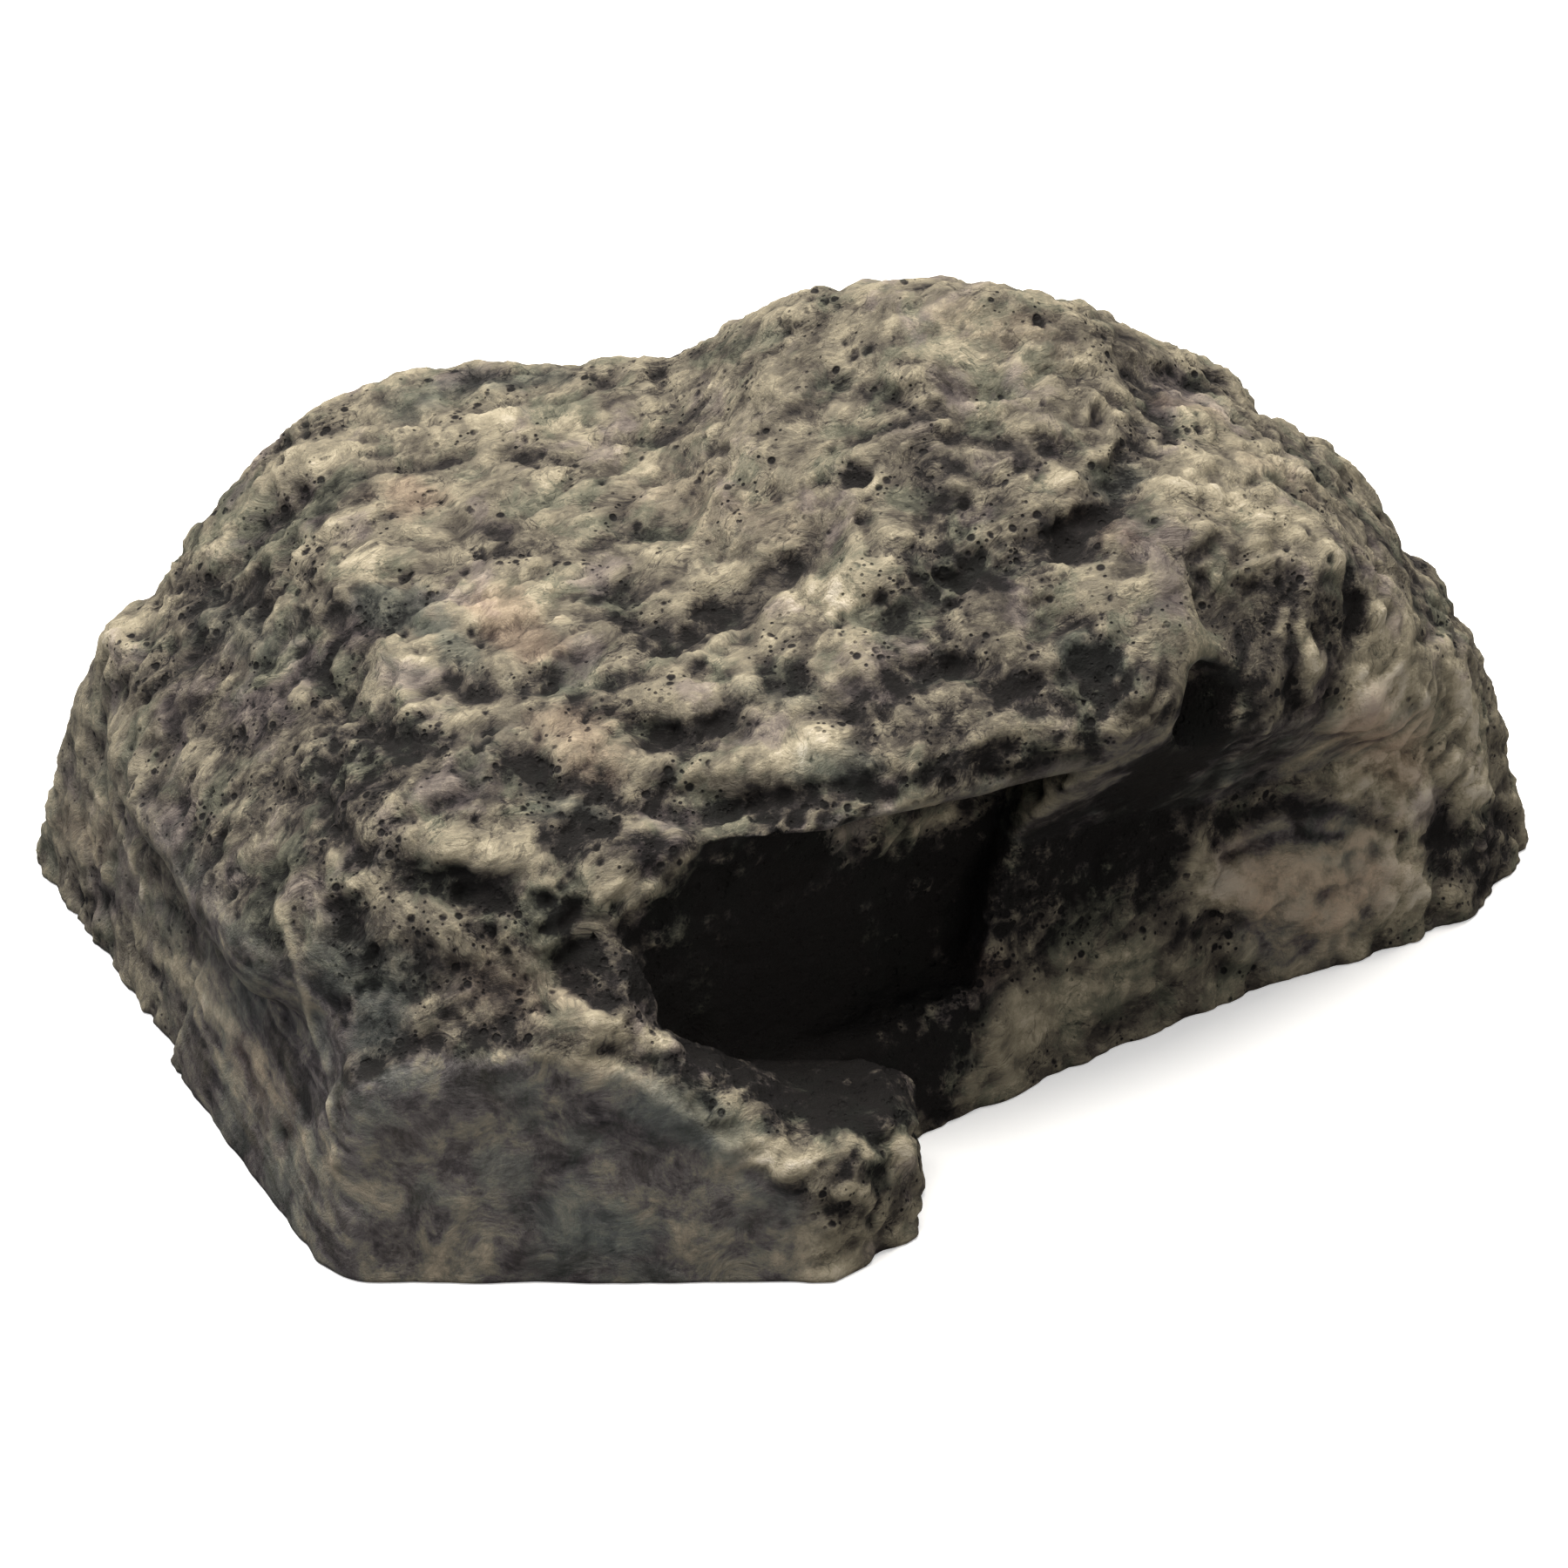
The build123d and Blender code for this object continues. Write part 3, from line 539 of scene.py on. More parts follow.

# The smooth bulge low on the right, its pale paint lifted further as painted light, and the folds above
# it.
BULGE_MARKS = [
    # pale paint on the bulge, brightened further as painted light
    ([(1385, 1015), (1450, 1010), (1540, 1020), (1610, 985), (1630, 910)], 2.6, 0.8, 2.2),
    ([(1450, 1070), (1540, 1060), (1600, 1040)], 2.4, 0.4, 1.3),
    ([(1400, 950), (1480, 925), (1560, 935), (1610, 955)], 0.7, -0.3, -1.6),
    ([(1400, 985), (1460, 962), (1540, 958)], 0.45, -0.2, -1.2),
    ([(1395, 1050), (1450, 1055), (1500, 1085)], 0.8, -0.3, -1.6),
    ([(1500, 1000), (1560, 992)], 0.4, -0.1, -0.8),
    ([(1385, 1025), (1430, 1032), (1470, 1028)], 0.9, 0.2, 1.2),
    ([(1440, 740), (1425, 820), (1405, 900)], 0.5, 0.2, 1.2),
    ([(1475, 700), (1465, 790), (1450, 860)], 0.5, 0.2, 1.2),
    ([(1500, 665), (1497, 720), (1505, 770)], 0.8, 0.2, 1.2),
    ([(1550, 660), (1560, 720)], 0.8, -0.3, -1.3),
    ([(1570, 820), (1600, 850), (1580, 880)], 2.6, 0.3, 1.1),
    ([(1580, 700), (1600, 760), (1630, 800)], 0.9, 0.4, 0.9),
    ([(1660, 740), (1690, 830), (1700, 900)], 1.0, 0.4, 0.8),
    ([(1680, 900), (1700, 915)], 0.8, 0.4, 1.1),
    ([(1640, 880), (1660, 920)], 1.0, -0.4, -1.0),
    ([(1600, 620), (1680, 700), (1725, 800), (1740, 880)], 1.2, 0.0, -0.8),
    ([(1330, 960), (1345, 1050), (1400, 1090)], 2.2, -0.3, -0.8),
    ([(1640, 960), (1700, 985), (1730, 960)], 2.4, -0.5, -1.8),
    ([(1560, 880), (1600, 850)], 1.8, 0.3, 0.7),
]

# Painted shade: a dark rim along the skyline.
SKYLINE_SHADE = [
    ([(225, 600), (300, 530), (400, 462), (560, 435), (700, 425), (850, 392)], 1.4, 0.0, -0.8),
    ([(960, 345), (1100, 338), (1250, 375), (1390, 450), (1500, 520), (1600, 640), (1690, 760)],
     1.5, 0.0, -0.7),
]

STROKES = (CREASES + SHADES + UNDERCUT_SHADE + LIPS + FOOT + LEFT_END + FRONT_SHADE + HOLLOW_SHADE
           + BULGE_MARKS + SKYLINE_SHADE)
STROKE_SOFT = 1.45             # a stroke fades out at this many half widths
WIDE_STROKE = 3                # wider ones have no broken edge

# Tints of the paint, by points, half width and strength: rusty pink above 0, blue-green below.
TINTS = [
    ([(465, 560), (480, 575)], 2.0, 1.0), ([(560, 700), (610, 745)], 2.4, 1.2),
    ([(650, 830), (690, 870)], 2.8, 0.8), ([(1100, 360), (1200, 380)], 2.5, 0.5),
    ([(1340, 460), (1380, 475)], 1.6, 0.7), ([(1440, 530), (1500, 570)], 1.8, 0.5),
    ([(1240, 590), (1290, 610)], 1.8, 0.6), ([(1560, 830), (1610, 870)], 3.0, 0.9),
    ([(1420, 1010), (1500, 1040), (1580, 1000)], 3.6, 0.6), ([(1110, 1100), (1130, 1110)], 2.2, 0.7),
    ([(70, 940), (120, 970)], 2.4, 0.5), ([(270, 1190), (330, 1280)], 2.4, 0.5),
    ([(560, 1130), (640, 1150)], 3.0, 0.5), ([(760, 560), (900, 600)], 4.0, 0.4),
    ([(430, 690), (470, 700)], 2.2, -1.3), ([(510, 720), (530, 740)], 1.6, -1.2),
    ([(1240, 740), (1265, 760)], 1.5, -1.2), ([(1265, 560), (1300, 545)], 1.8, -0.8),
    ([(380, 1090), (450, 1130), (430, 1180)], 2.8, -0.9), ([(760, 1270), (830, 1300)], 2.4, -1.2),
    ([(650, 1400), (720, 1420)], 2.6, -1.0), ([(620, 920), (680, 930)], 1.6, -0.8),
    ([(930, 880), (990, 880)], 1.6, -0.9), ([(460, 470), (540, 440), (640, 430)], 1.8, -0.8),
    ([(1430, 900), (1380, 840)], 2.0, -0.6), ([(240, 700), (300, 740)], 2.2, -0.7),
    ([(860, 790), (930, 800)], 1.6, -0.6), ([(560, 760), (650, 790)], 1.6, -0.7),
]
TINT_SOFT = 1.4

# Where the rim runs out to the right it is worn round, within this reach in millimetres.
RIM_END = [(1390, 745), (1420, 762), (1400, 790)]
RIM_END_REACH = 4.5

# The line over the foot's smooth front: places along X and heights, seen from the front.
FOOT_LINE = ((-25.6, 12.6), (-18.5, 14.6), (-11.1, 15.2), (-4.6, 14.0), (-1.4, 11.0), (1.8, 8.0),
             (5.0, 6.0))


def stroke_distance(co, tree, points, half_width):
    """Distance of every vertex to a stroke laid on the surface, closely dotted if it is thin."""
    spacing = 4 + 7 * half_width
    laid = []
    for (ax, ay), (bx, by) in zip(points, points[1:]):
        dots = 2 + int(math.hypot(bx - ax, by - ay) / spacing)
        for t in np.linspace(0, 1, dots):
            hit = tree.ray_cast(*sight_line(ax + (bx - ax) * t, ay + (by - ay) * t))
            if hit[0] is not None:
                laid.append(hit[0])
    near = np.full(len(co), 1e9)
    for point in laid:
        near = np.minimum(near, ((co - np.array(point)) ** 2).sum(axis=1))
    return np.sqrt(near)


def lay_strokes(co, tree):
    """What all the strokes cut or raise, and their tone (paint, painted light and shade) and tint, at
    every vertex.
    """
    cut, tone, tint = np.zeros((3, len(co)))
    wobble = 1 + 0.45 * field(co / 2.4) + 0.45 * field(co / 1.0 + 9.0)
    break_up = 0.75 + 0.6 * field(co / 1.3 + 21.0)
    for points, half_width, height, shade in STROKES:
        reach = stroke_distance(co, tree, points, half_width) / (half_width * STROKE_SOFT * wobble)
        weight = np.clip(1 - reach ** 2, 0, 1) ** 1.5 * (1 if half_width > WIDE_STROKE else break_up)
        cut += weight * height
        tone += weight * shade
    for points, half_width, strength in TINTS:
        reach = stroke_distance(co, tree, points, half_width) / (half_width * TINT_SOFT * wobble)
        tint += np.clip(1 - reach ** 2, 0, 1) ** 1.5 * strength
    return cut, tone, tint


# ---------------------------------------------------------------- the carved skin

def cut_guard(co):
    """0 where the pocket lies close behind the skin, which isn't cut in there, and 1 elsewhere."""
    low, high = (np.array(corner[:2]) for corner in hollows(0.0, 0.0)[0][:2])
    beside = np.clip(np.maximum(low - co[:, :2], co[:, :2] - high), 0, None)
    return np.maximum(smooth(np.hypot(*beside.T), 2.5, 6.0), smooth(co[:, 2], 5.5, 8.0))


def pushed(co, no, height, guard):
    """Points moved out along their normals, or in where the guard lets them."""
    return co + no * np.where(height < 0, height * guard, height)[:, None]


def distance(front, middle, size=(1, 1, 1)):
    """Distance to a place in the front view's axes, in units of the given sizes."""
    return np.sqrt((((front - middle) / size) ** 2).sum(axis=1))


def smooth_walls(front, no):
    """Where the skin is plain, as cast against a smooth mould wall, and where it is the left end.
    Undersides count as plain, and take the walls' darker colours as painted shade.
    """
    x, y, z = front.T
    facing = to_front(no)
    line = np.interp(x, [p[0] for p in FOOT_LINE], [p[1] for p in FOOT_LINE])
    foot = smooth(-facing[:, 1], 0.3, 0.7) * smooth(line - z, -0.4, 0.6)
    foot = foot * smooth(-y, 27, 31) * smooth(-x, -7, -4)
    bulge = 1 - smooth(distance(front, BULGE), *BULGE_REACH)
    out = -(facing[:, 0] * LEFT_END_OUT[0] + facing[:, 1] * LEFT_END_OUT[1])
    flank = smooth(out, 0.35, 0.95) * smooth(LEFT_END_TOP - z, 0, 3)
    flank *= 1 - 0.7 * smooth(x * LEFT_END_ALONG[0] + y * LEFT_END_ALONG[1], 8, -10)
    # undersides count as plain wall: smoother, and painted darker as shade under the overhangs
    under = smooth(-no[:, 2], 0.05, 0.4)
    hollow = 1 - smooth(distance(front, HOLLOW, HOLLOW_SIZE), 0.6, 1)
    walls = [foot, bulge, flank * 0.8, under * 0.8, hollow * 0.6]
    return np.clip(np.maximum.reduce(walls), 0, 1), flank


class BrokenSkin:
    """The patterns of the broken skin at every vertex: each from 0 in its hollows to about 1."""

    def __init__(self, front):
        x, y, z = front.T
        shifts = (0.0, 31.0, 67.0)
        self.warp = np.stack([field(front / 9.0 + shift) for shift in shifts], axis=1) * 3.5
        self.ridges = lumps(stretched(front + self.warp, *RIDGE_GRAIN))
        self.knobs = lumps(stretched(front + self.warp * 0.6, *PLATE_GRAIN) + 5.0)
        self.plates = smooth(self.knobs, 0.15, 0.5)
        crests = lumps(stretched(front + self.warp * 0.8, *CREST_GRAIN) + 17.0)
        self.crests = 1 - np.clip(crests, 0, 1.2)
        self.grit = lumps(stretched(front + self.warp * 0.3, *GRIT_GRAIN) + 11.0)
        self.swells = lumps(front / 7.0 + 3.0)
        # nearly level streaks that fall to the front
        along = x * LEFT_END_ALONG[0] + y * LEFT_END_ALONG[1]
        streaks = np.stack([(z + along * STREAK_FALL) / 1.9, along / 13, x / 13], axis=1)
        self.streaks = lumps(streaks + self.warp[:, :1] * 0.05)

    def height(self, front, plain, flank):
        """How far the skin stands out: broad ridges, flat plates with broken edges and sharp crests
        on the rough stone, slow swellings on the plain walls, streaks on the left end, folds."""
        x, y, z = front.T
        broken = RIDGE_HEIGHT * (self.ridges - 0.72) + PLATE_HEIGHT * (self.plates - 0.6)
        broken += CREST_HEIGHT * (self.crests - 0.4)
        height = SKIN + (1 - plain) * broken
        height += plain * SWELL_HEIGHT * (self.swells - 0.6)
        height += flank * STREAK_HEIGHT * (self.streaks - 0.6)
        folds = smooth(np.abs(x - FOLD_MIDDLE), 6, 2.5) * smooth(z, 12, 17)
        folds = folds * smooth(30 - z, 0, 3) * smooth(-y, 3, 7)
        return height + folds * FOLD_HEIGHT * np.sin((x + y * 0.5) * 2.2 + 2 * self.warp[:, 0])


def dig_pits(co, chance):
    """Depth of the round pits at every vertex. Each vertex drawn is a pit with the chance given."""
    tries = random.sample(range(len(co)), PIT_TRIES)
    chosen = [i for i in tries if random.random() < chance[i]]
    cells = {}
    for i, key in enumerate(map(tuple, np.floor(co / PIT_CELL).astype(int))):
        cells.setdefault(key, []).append(i)
    steps = (-1, 0, 1)
    pits = np.zeros(len(co))
    for i in chosen:
        radius = random.uniform(*PIT_RADIUS)
        depth = radius * random.uniform(*PIT_DEPTH)
        cx, cy, cz = np.floor(co[i] / PIT_CELL).astype(int)
        near = [j for dx in steps for dy in steps for dz in steps
                for j in cells.get((cx + dx, cy + dy, cz + dz), ())]
        reach = np.sqrt(((co[near] - co[i]) ** 2).sum(axis=1)) / radius
        pits[near] = np.maximum(pits[near], depth * np.clip(1 - reach ** 2, 0, 1))
    return pits


def rises(co, no, around):
    """Hollows (below 0) and rises (above 0) at three scales, for the paint's dark wash and dry-brushed
    highlights, and for painted shade in the hollows.
    """
    relief = np.zeros(len(co))
    for times, share in ((4, 0.15), (16, 0.4), (60, 0.45)):
        rise = ((co - around.blur(co, times)) * no).sum(axis=1)
        relief += share * np.clip(rise / (np.abs(rise).mean() * 2.5), -1.5, 1.5)
    return relief


def kept_in_box(co):
    """Points held inside the box of the whole part; downward the ground cut sees to it."""
    low, high = (np.array(corner) / MM for corner in cad_box)
    low, high = low + BOX_ROOM, high - BOX_ROOM
    low[2] = -np.inf
    return np.clip(co, low, high)


def carve(mesh):
    """Turns the even blank into broken stone. Returns what the paint needs at every vertex."""
    around = Neighbours(mesh)
    co = read_points(mesh, "co")
    guard = cut_guard(co)
    front = to_front(co, STONE_MIDDLE)

    # worn forms: the top is smoothed most, the foot and the low edges least
    co = around.blur(co, 14, (0.2 + 0.4 * smooth(co[:, 2], 15, 26)) * guard)
    no = move_points(mesh, co)
    plain, flank = smooth_walls(front, no)
    skin = BrokenSkin(front)
    co = pushed(co, no, skin.height(front, plain, flank), guard)
    no = move_points(mesh, co)

    tree = BVHTree.FromPolygons([Vector(c) for c in co], [p.vertices[:] for p in mesh.polygons])
    cut, tone, tint = lay_strokes(co, tree)
    tone += flank * (0.9 * (skin.streaks - 0.75) - 0.15)
    cut += (1 - plain) * GRIT_HEIGHT * (skin.grit - 0.6)
    co = pushed(co, no, cut, guard)
    rim_end = stroke_distance(co, tree, RIM_END, 1.0) / RIM_END_REACH
    co = around.blur(co, 40, 0.6 * np.clip(1 - rim_end ** 2, 0, 1))
    no = move_points(mesh, co)

    # most of the pits lie in the creases and in clusters
    low = 0.8 - skin.ridges * 0.55 - skin.knobs * 0.45 + np.clip(-tone, 0, 1) * 0.5
    cluster = smooth(field(co / 5.0 + 40.0), -0.05, 0.35)
    pits = dig_pits(co, np.clip(low, 0, 1) * (0.1 + (1 - plain)) * (0.08 + cluster)) * guard
    co = co - no * pits[:, None]
    no = move_points(mesh, co)
    relief = rises(co, no, around)
    move_points(mesh, kept_in_box(co))
    return {"relief": relief, "tone": np.clip(tone, -3, 1.5), "plain": plain, "tint": tint,
            "pit": np.clip(pits / FULL_PIT, 0, 1), "flank": flank}


def cut_base(mesh):
    """Cuts the stone flat at the ground and caps it."""
    bm = bmesh.new()
    bm.from_mesh(mesh)
    plane = bmesh.ops.bisect_plane(bm, geom=bm.verts[:] + bm.edges[:] + bm.faces[:], dist=1e-5,
                                   plane_co=(0, 0, 0), plane_no=(0, 0, 1), clear_inner=True)
    rim = [g for g in plane["geom_cut"] if isinstance(g, bmesh.types.BMEdge)]
    bmesh.ops.triangle_fill(bm, edges=rim, use_beauty=True, normal=(0, 0, -1))
    bmesh.ops.recalc_face_normals(bm, faces=bm.faces)
    bm.to_mesh(mesh)
    bm.free()


def cut_hollows(stone):
    """Cuts the stepped pocket and the cover's way out with sharp edges."""
    for low, high, corner in hollows(0.0, 2.0):
        bm = bmesh.new()
        box_mesh(bm, low, high, corner)
        bmesh.ops.recalc_face_normals(bm, faces=bm.faces)
        cutter = link_object("cutter", to_mesh(bm, "cutter"))
        boolean = stone.modifiers.new("cut", "BOOLEAN")
        boolean.operation = "DIFFERENCE"
        boolean.solver = "EXACT"
        boolean.object = cutter
        result = evaluated_mesh(stone)
        stone.modifiers.clear()
        stone.data = result
        bpy.data.objects.remove(cutter)


def give_finishes(mesh, paint, raw):
    """Paint on the outside; bare resin in the hollows and on the flat underside."""
    mesh.materials.clear()
    mesh.materials.append(paint)
    mesh.materials.append(raw)
    walls = hollows(0.02, 1.0)
    for face in mesh.polygons:
        c = face.center
        inside = any(all(l[i] < c[i] < h[i] for i in range(3)) for l, h, _ in walls)
        face.material_index = 1 if inside or (c.z < 0.02 and face.normal.z < -0.9) else 0
        face.use_smooth = face.material_index == 0


def make_stone(paint, raw):
    mesh = stone_blank()
    for name, values in carve(mesh).items():
        layer = mesh.attributes.new(name, "FLOAT", "POINT")
        layer.data.foreach_set("value", values.astype(np.float32))
    cut_base(mesh)
    stone = link_object("cast_stone", mesh)
    cut_hollows(stone)
    give_finishes(stone.data, paint, raw)
    stone.data.transform(Matrix.Scale(MM, 4))
    stone.data.update()
    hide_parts("rock_shell")
    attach(stone, "rock")


# ---------------------------------------------------------------- materials

def new_tree(name):
    """A material and its node tree, emptied."""
    mat = bpy.data.materials.new(name)
    mat.use_nodes = True
    mat.node_tree.nodes.clear()
    return mat, mat.node_tree


def set_stops(elements, stops):
    """The stops of a colour ramp, as (position, hex code)."""
    while len(elements) < len(stops):
        elements.new(0.5)
    for element, (position, colour) in zip(elements, stops):
        element.position = position
        element.color = srgb(colour)


def add(tree, kind, *values, **named):
    """Adds one node. Values go to its open inputs in turn. Of the named ones, those in small letters
    are the node's settings and those with a capital its inputs. An input takes a number, a colour,
    a hex code, a node or a (node, output) pair."""
    item = tree.nodes.new("ShaderNode" + kind)
    for key, value in named.items():
        if key == "stops":
            set_stops(item.color_ramp.elements, value)
        elif key.islower():
            setattr(item, key, value)
    sockets = [socket for socket in item.inputs if socket.enabled]
    by_name = {socket.name.replace(" ", "_"): socket for socket in sockets}
    given = list(zip(sockets, values))
    given += [(by_name[key], value) for key, value in named.items() if not key.islower()]
    for socket, value in given:
        if isinstance(value, bpy.types.Node):
            tree.links.new(next(out for out in value.outputs if out.enabled), socket)
        elif isinstance(value, tuple) and isinstance(value[0], bpy.types.Node):
            tree.links.new(value[0].outputs[value[1]], socket)
        else:
            socket.default_value = srgb(value) if isinstance(value, str) else value
    return item


def surface(tree, **inputs):
    """The surface and the output that close a material."""
    add(tree, "OutputMaterial", add(tree, "BsdfPrincipled", **inputs))


def in_millimetres(tree):
    """Object coordinates in millimetres, so that a scale of 1 / size gives grains of that size."""
    return add(tree, "Mapping", (add(tree, "TexCoord"), "Object"), Scale=(1 / MM, 1 / MM, 1 / MM))


def glazed(tree, colour, mask, share, shade, dark, light):
    """A thin layer over a colour where the mask is: dark to light, as the shade goes from 0 to 1."""
    amount = add(tree, "Math", mask, share, operation="MULTIPLY")
    layer = add(tree, "Mix", shade, dark, light, data_type="RGBA")
    return add(tree, "Mix", amount, colour, layer, data_type="RGBA")


# Grain sizes of the stone's paint, in millimetres.
BEND_GRAIN = 5.0
BROAD_GRAIN = 8.333
MEDIUM_GRAIN = 2.632
FINE_GRAIN = 0.625
SPECK_GRAIN = 0.1818
RAGGED_GRAIN = 1.25
PATCH_GRAIN = 2.083
VEINS = ((2.381, -0.2), (1.25, -0.14), (1.667, 0.12))   # their spacing, and how dark or pale
CROWD_GRAIN = 3.571
DOT_SPACING = 1.25
SMALL_DOT_SPACING = 0.5882
GREEN_GRAIN = 5.0
PURPLE_GRAIN = 6.25
BLOTCH_GRAIN = 2.941
STREAK_GRAIN = 1.667
STREAK_STRETCH = 0.16          # the patterns' pace along the streaks, against that across
STREAK_ACROSS = (0.08, -0.17, 0.98)
MOTTLE_GRAIN = 3.333
TEAL_GRAIN = 4.545
BEND = 4.0                     # how far the slow bend shifts the patterns
BRUSH_STRETCH = 0.6
BRUSH_SLANT = 22.0             # degrees from the front view's X
PAINT_BUMP = 0.8               # depth of the paint's fine relief

# Grain sizes of the other finishes, in millimetres.
RESIN_CLOUD = 4.0
RESIN_GRAIN = 0.3333
MOULD_GRAIN = 0.1429
HANDLING_MARK = 2.857
DUST_GRAIN = 1.111
FOAM_CELL = 0.5263
SMALL_FOAM_CELL = 0.2222
ZINC_CLOUD = 1.25
TURNED_GRAIN = 0.1111

BRUSHED_SHADES = [(0.0, "120f0e"), (0.14, "2b2726"), (0.30, "544e46"), (0.46, "7d7667"),
                  (0.62, "9e9580"), (0.80, "beb39b"), (1.0, "d8cebb")]
WALL_SHADES = [(0.22, "1d1b1d"), (0.38, "474246"), (0.50, "6a6566"), (0.60, "837f73"),
               (0.74, "a19684"), (0.95, "c8b79f")]


def paint_grounds(tree):
    """What the stone's paint is mixed from, by name: places, patterns and the skin's own measures."""
    mm = in_millimetres(tree)
    bend = add(tree, "TexNoise", mm, Scale=1 / BEND_GRAIN, Detail=1, Roughness=0.5)
    centred = add(tree, "VectorMath", (bend, "Color"), (0.5, 0.5, 0.5), operation="SUBTRACT")
    shift = add(tree, "VectorMath", centred, Scale=BEND, operation="SCALE")
    warped = add(tree, "VectorMath", mm, shift, operation="ADD")
    # brush marks run at a slant over the top
    slant = add(tree, "Mapping", warped, Rotation=(0, 0, math.radians(FRONT_TURN - BRUSH_SLANT)))
    brushed = add(tree, "Mapping", slant, Scale=(BRUSH_STRETCH, 1.0, 1.0))
    broad = add(tree, "TexNoise", warped, Scale=1 / BROAD_GRAIN, Detail=3, Roughness=0.55)
    medium = add(tree, "TexNoise", warped, Scale=1 / MEDIUM_GRAIN, Detail=6, Roughness=0.66)
    fine = add(tree, "TexNoise", brushed, Scale=1 / FINE_GRAIN, Detail=6, Roughness=0.75,
               Distortion=0.25)
    measures = {name: (add(tree, "Attribute", attribute_name=name), "Fac")
                for name in ("relief", "tone", "plain", "tint", "pit", "flank")}
    bare = add(tree, "Math", 1.0, measures["plain"], operation="SUBTRACT")
    return SimpleNamespace(mm=mm, warped=warped, brushed=brushed, broad=broad, medium=medium,
                           fine=fine, bare=bare, **measures)


def brushed_light(tree, on):
    """How light the paint is brushed, by relief, patterns and tone, from 0 to about 1; relief and tone
    carry painted shade and light as well as the paint's own wash.
    """
    # relief: darker in hollows and lighter on rises, the wash and dry brushing, and also painted shade
    # in the hollows
    light = add(tree, "Math", on.relief, 0.125, 0.43, operation="MULTIPLY_ADD")
    for pattern, share in ((on.medium, 0.75), (on.fine, 0.45), (on.broad, 0.5)):
        part = add(tree, "Math", pattern, 0.5, operation="SUBTRACT")
        light = add(tree, "Math", part, share, light, operation="MULTIPLY_ADD")
    ragged = add(tree, "TexNoise", on.mm, Scale=1 / RAGGED_GRAIN, Detail=6, Roughness=0.72)
    ragged = add(tree, "MapRange", ragged, 0.38, 0.60, interpolation_type="SMOOTHSTEP")
    held = add(tree, "Math", ragged, 0.2, 0.13, operation="MULTIPLY_ADD")
    return add(tree, "Math", on.tone, held, light, operation="MULTIPLY_ADD")


def ragged_patches(tree, on, light):
    """Adds cream patches and umber ones with ragged edges. Returns the light and the patches."""
    edge = add(tree, "TexNoise", on.brushed, Scale=1 / PATCH_GRAIN, Detail=8, Roughness=0.72)
    patch = add(tree, "Math", on.relief, 0.06, edge, operation="MULTIPLY_ADD")
    patch = add(tree, "Math", on.tone, 0.04, patch, operation="MULTIPLY_ADD")
    for start, full, share in ((0.54, 0.57, 0.09), (0.45, 0.42, -0.09)):
        side = add(tree, "MapRange", patch, start, full, interpolation_type="SMOOTHSTEP")
        light = add(tree, "Math", side, share, light, operation="MULTIPLY_ADD")
    return light, patch


def curling_veins(tree, on, light):
    """Adds thin curling veins, dark ones and pale ones, on the rough stone."""
    seen = add(tree, "MapRange", on.medium, 0.40, 0.60, interpolation_type="SMOOTHSTEP")
    for spacing, share in VEINS:
        curl = add(tree, "TexNoise", on.brushed, Scale=1 / spacing, Detail=3, Roughness=0.55,
                   Distortion=0.9)
        off = add(tree, "Math", curl, 0.5, operation="SUBTRACT")
        off = add(tree, "Math", off, operation="ABSOLUTE")
        line = add(tree, "MapRange", off, 0.022, 0.0, interpolation_type="SMOOTHSTEP")
        line = add(tree, "Math", line, seen, operation="MULTIPLY")
        line = add(tree, "Math", line, on.bare, operation="MULTIPLY")
        light = add(tree, "Math", line, share, light, operation="MULTIPLY_ADD")
    return light


def pit_dots(tree, on):
    """Pits seen as black dots, in clusters."""
    crowd = add(tree, "TexNoise", on.mm, Scale=1 / CROWD_GRAIN, Detail=3, Roughness=0.6)
    crowd = add(tree, "Math", on.tone, -0.08, crowd, operation="MULTIPLY_ADD")
    grouped = add(tree, "MapRange", crowd, 0.50, 0.62, interpolation_type="SMOOTHSTEP")
    both = []
    for spacing, start, full in ((DOT_SPACING, 0.27, 0.15), (SMALL_DOT_SPACING, 0.26, 0.12)):
        dots = add(tree, "TexVoronoi", on.mm, Scale=1 / spacing)
        both.append(add(tree, "MapRange", dots, start, full, interpolation_type="SMOOTHSTEP"))
    dots = add(tree, "Math", *both, operation="MAXIMUM")
    dots = add(tree, "Math", dots, grouped, operation="MULTIPLY")
    return add(tree, "Math", dots, on.bare, operation="MULTIPLY")


def tints(tree, on):
    """Where the paint is tinted rusty pink and where blue-green, with ragged edges."""
    ragged = add(tree, "Math", on.fine, 0.5, operation="SUBTRACT")
    tint = add(tree, "Math", ragged, 0.8, on.tint, operation="MULTIPLY_ADD")
    return (add(tree, "MapRange", tint, 0.15, 1.1, interpolation_type="SMOOTHSTEP"),
            add(tree, "MapRange", tint, -0.15, -1.1, interpolation_type="SMOOTHSTEP"))


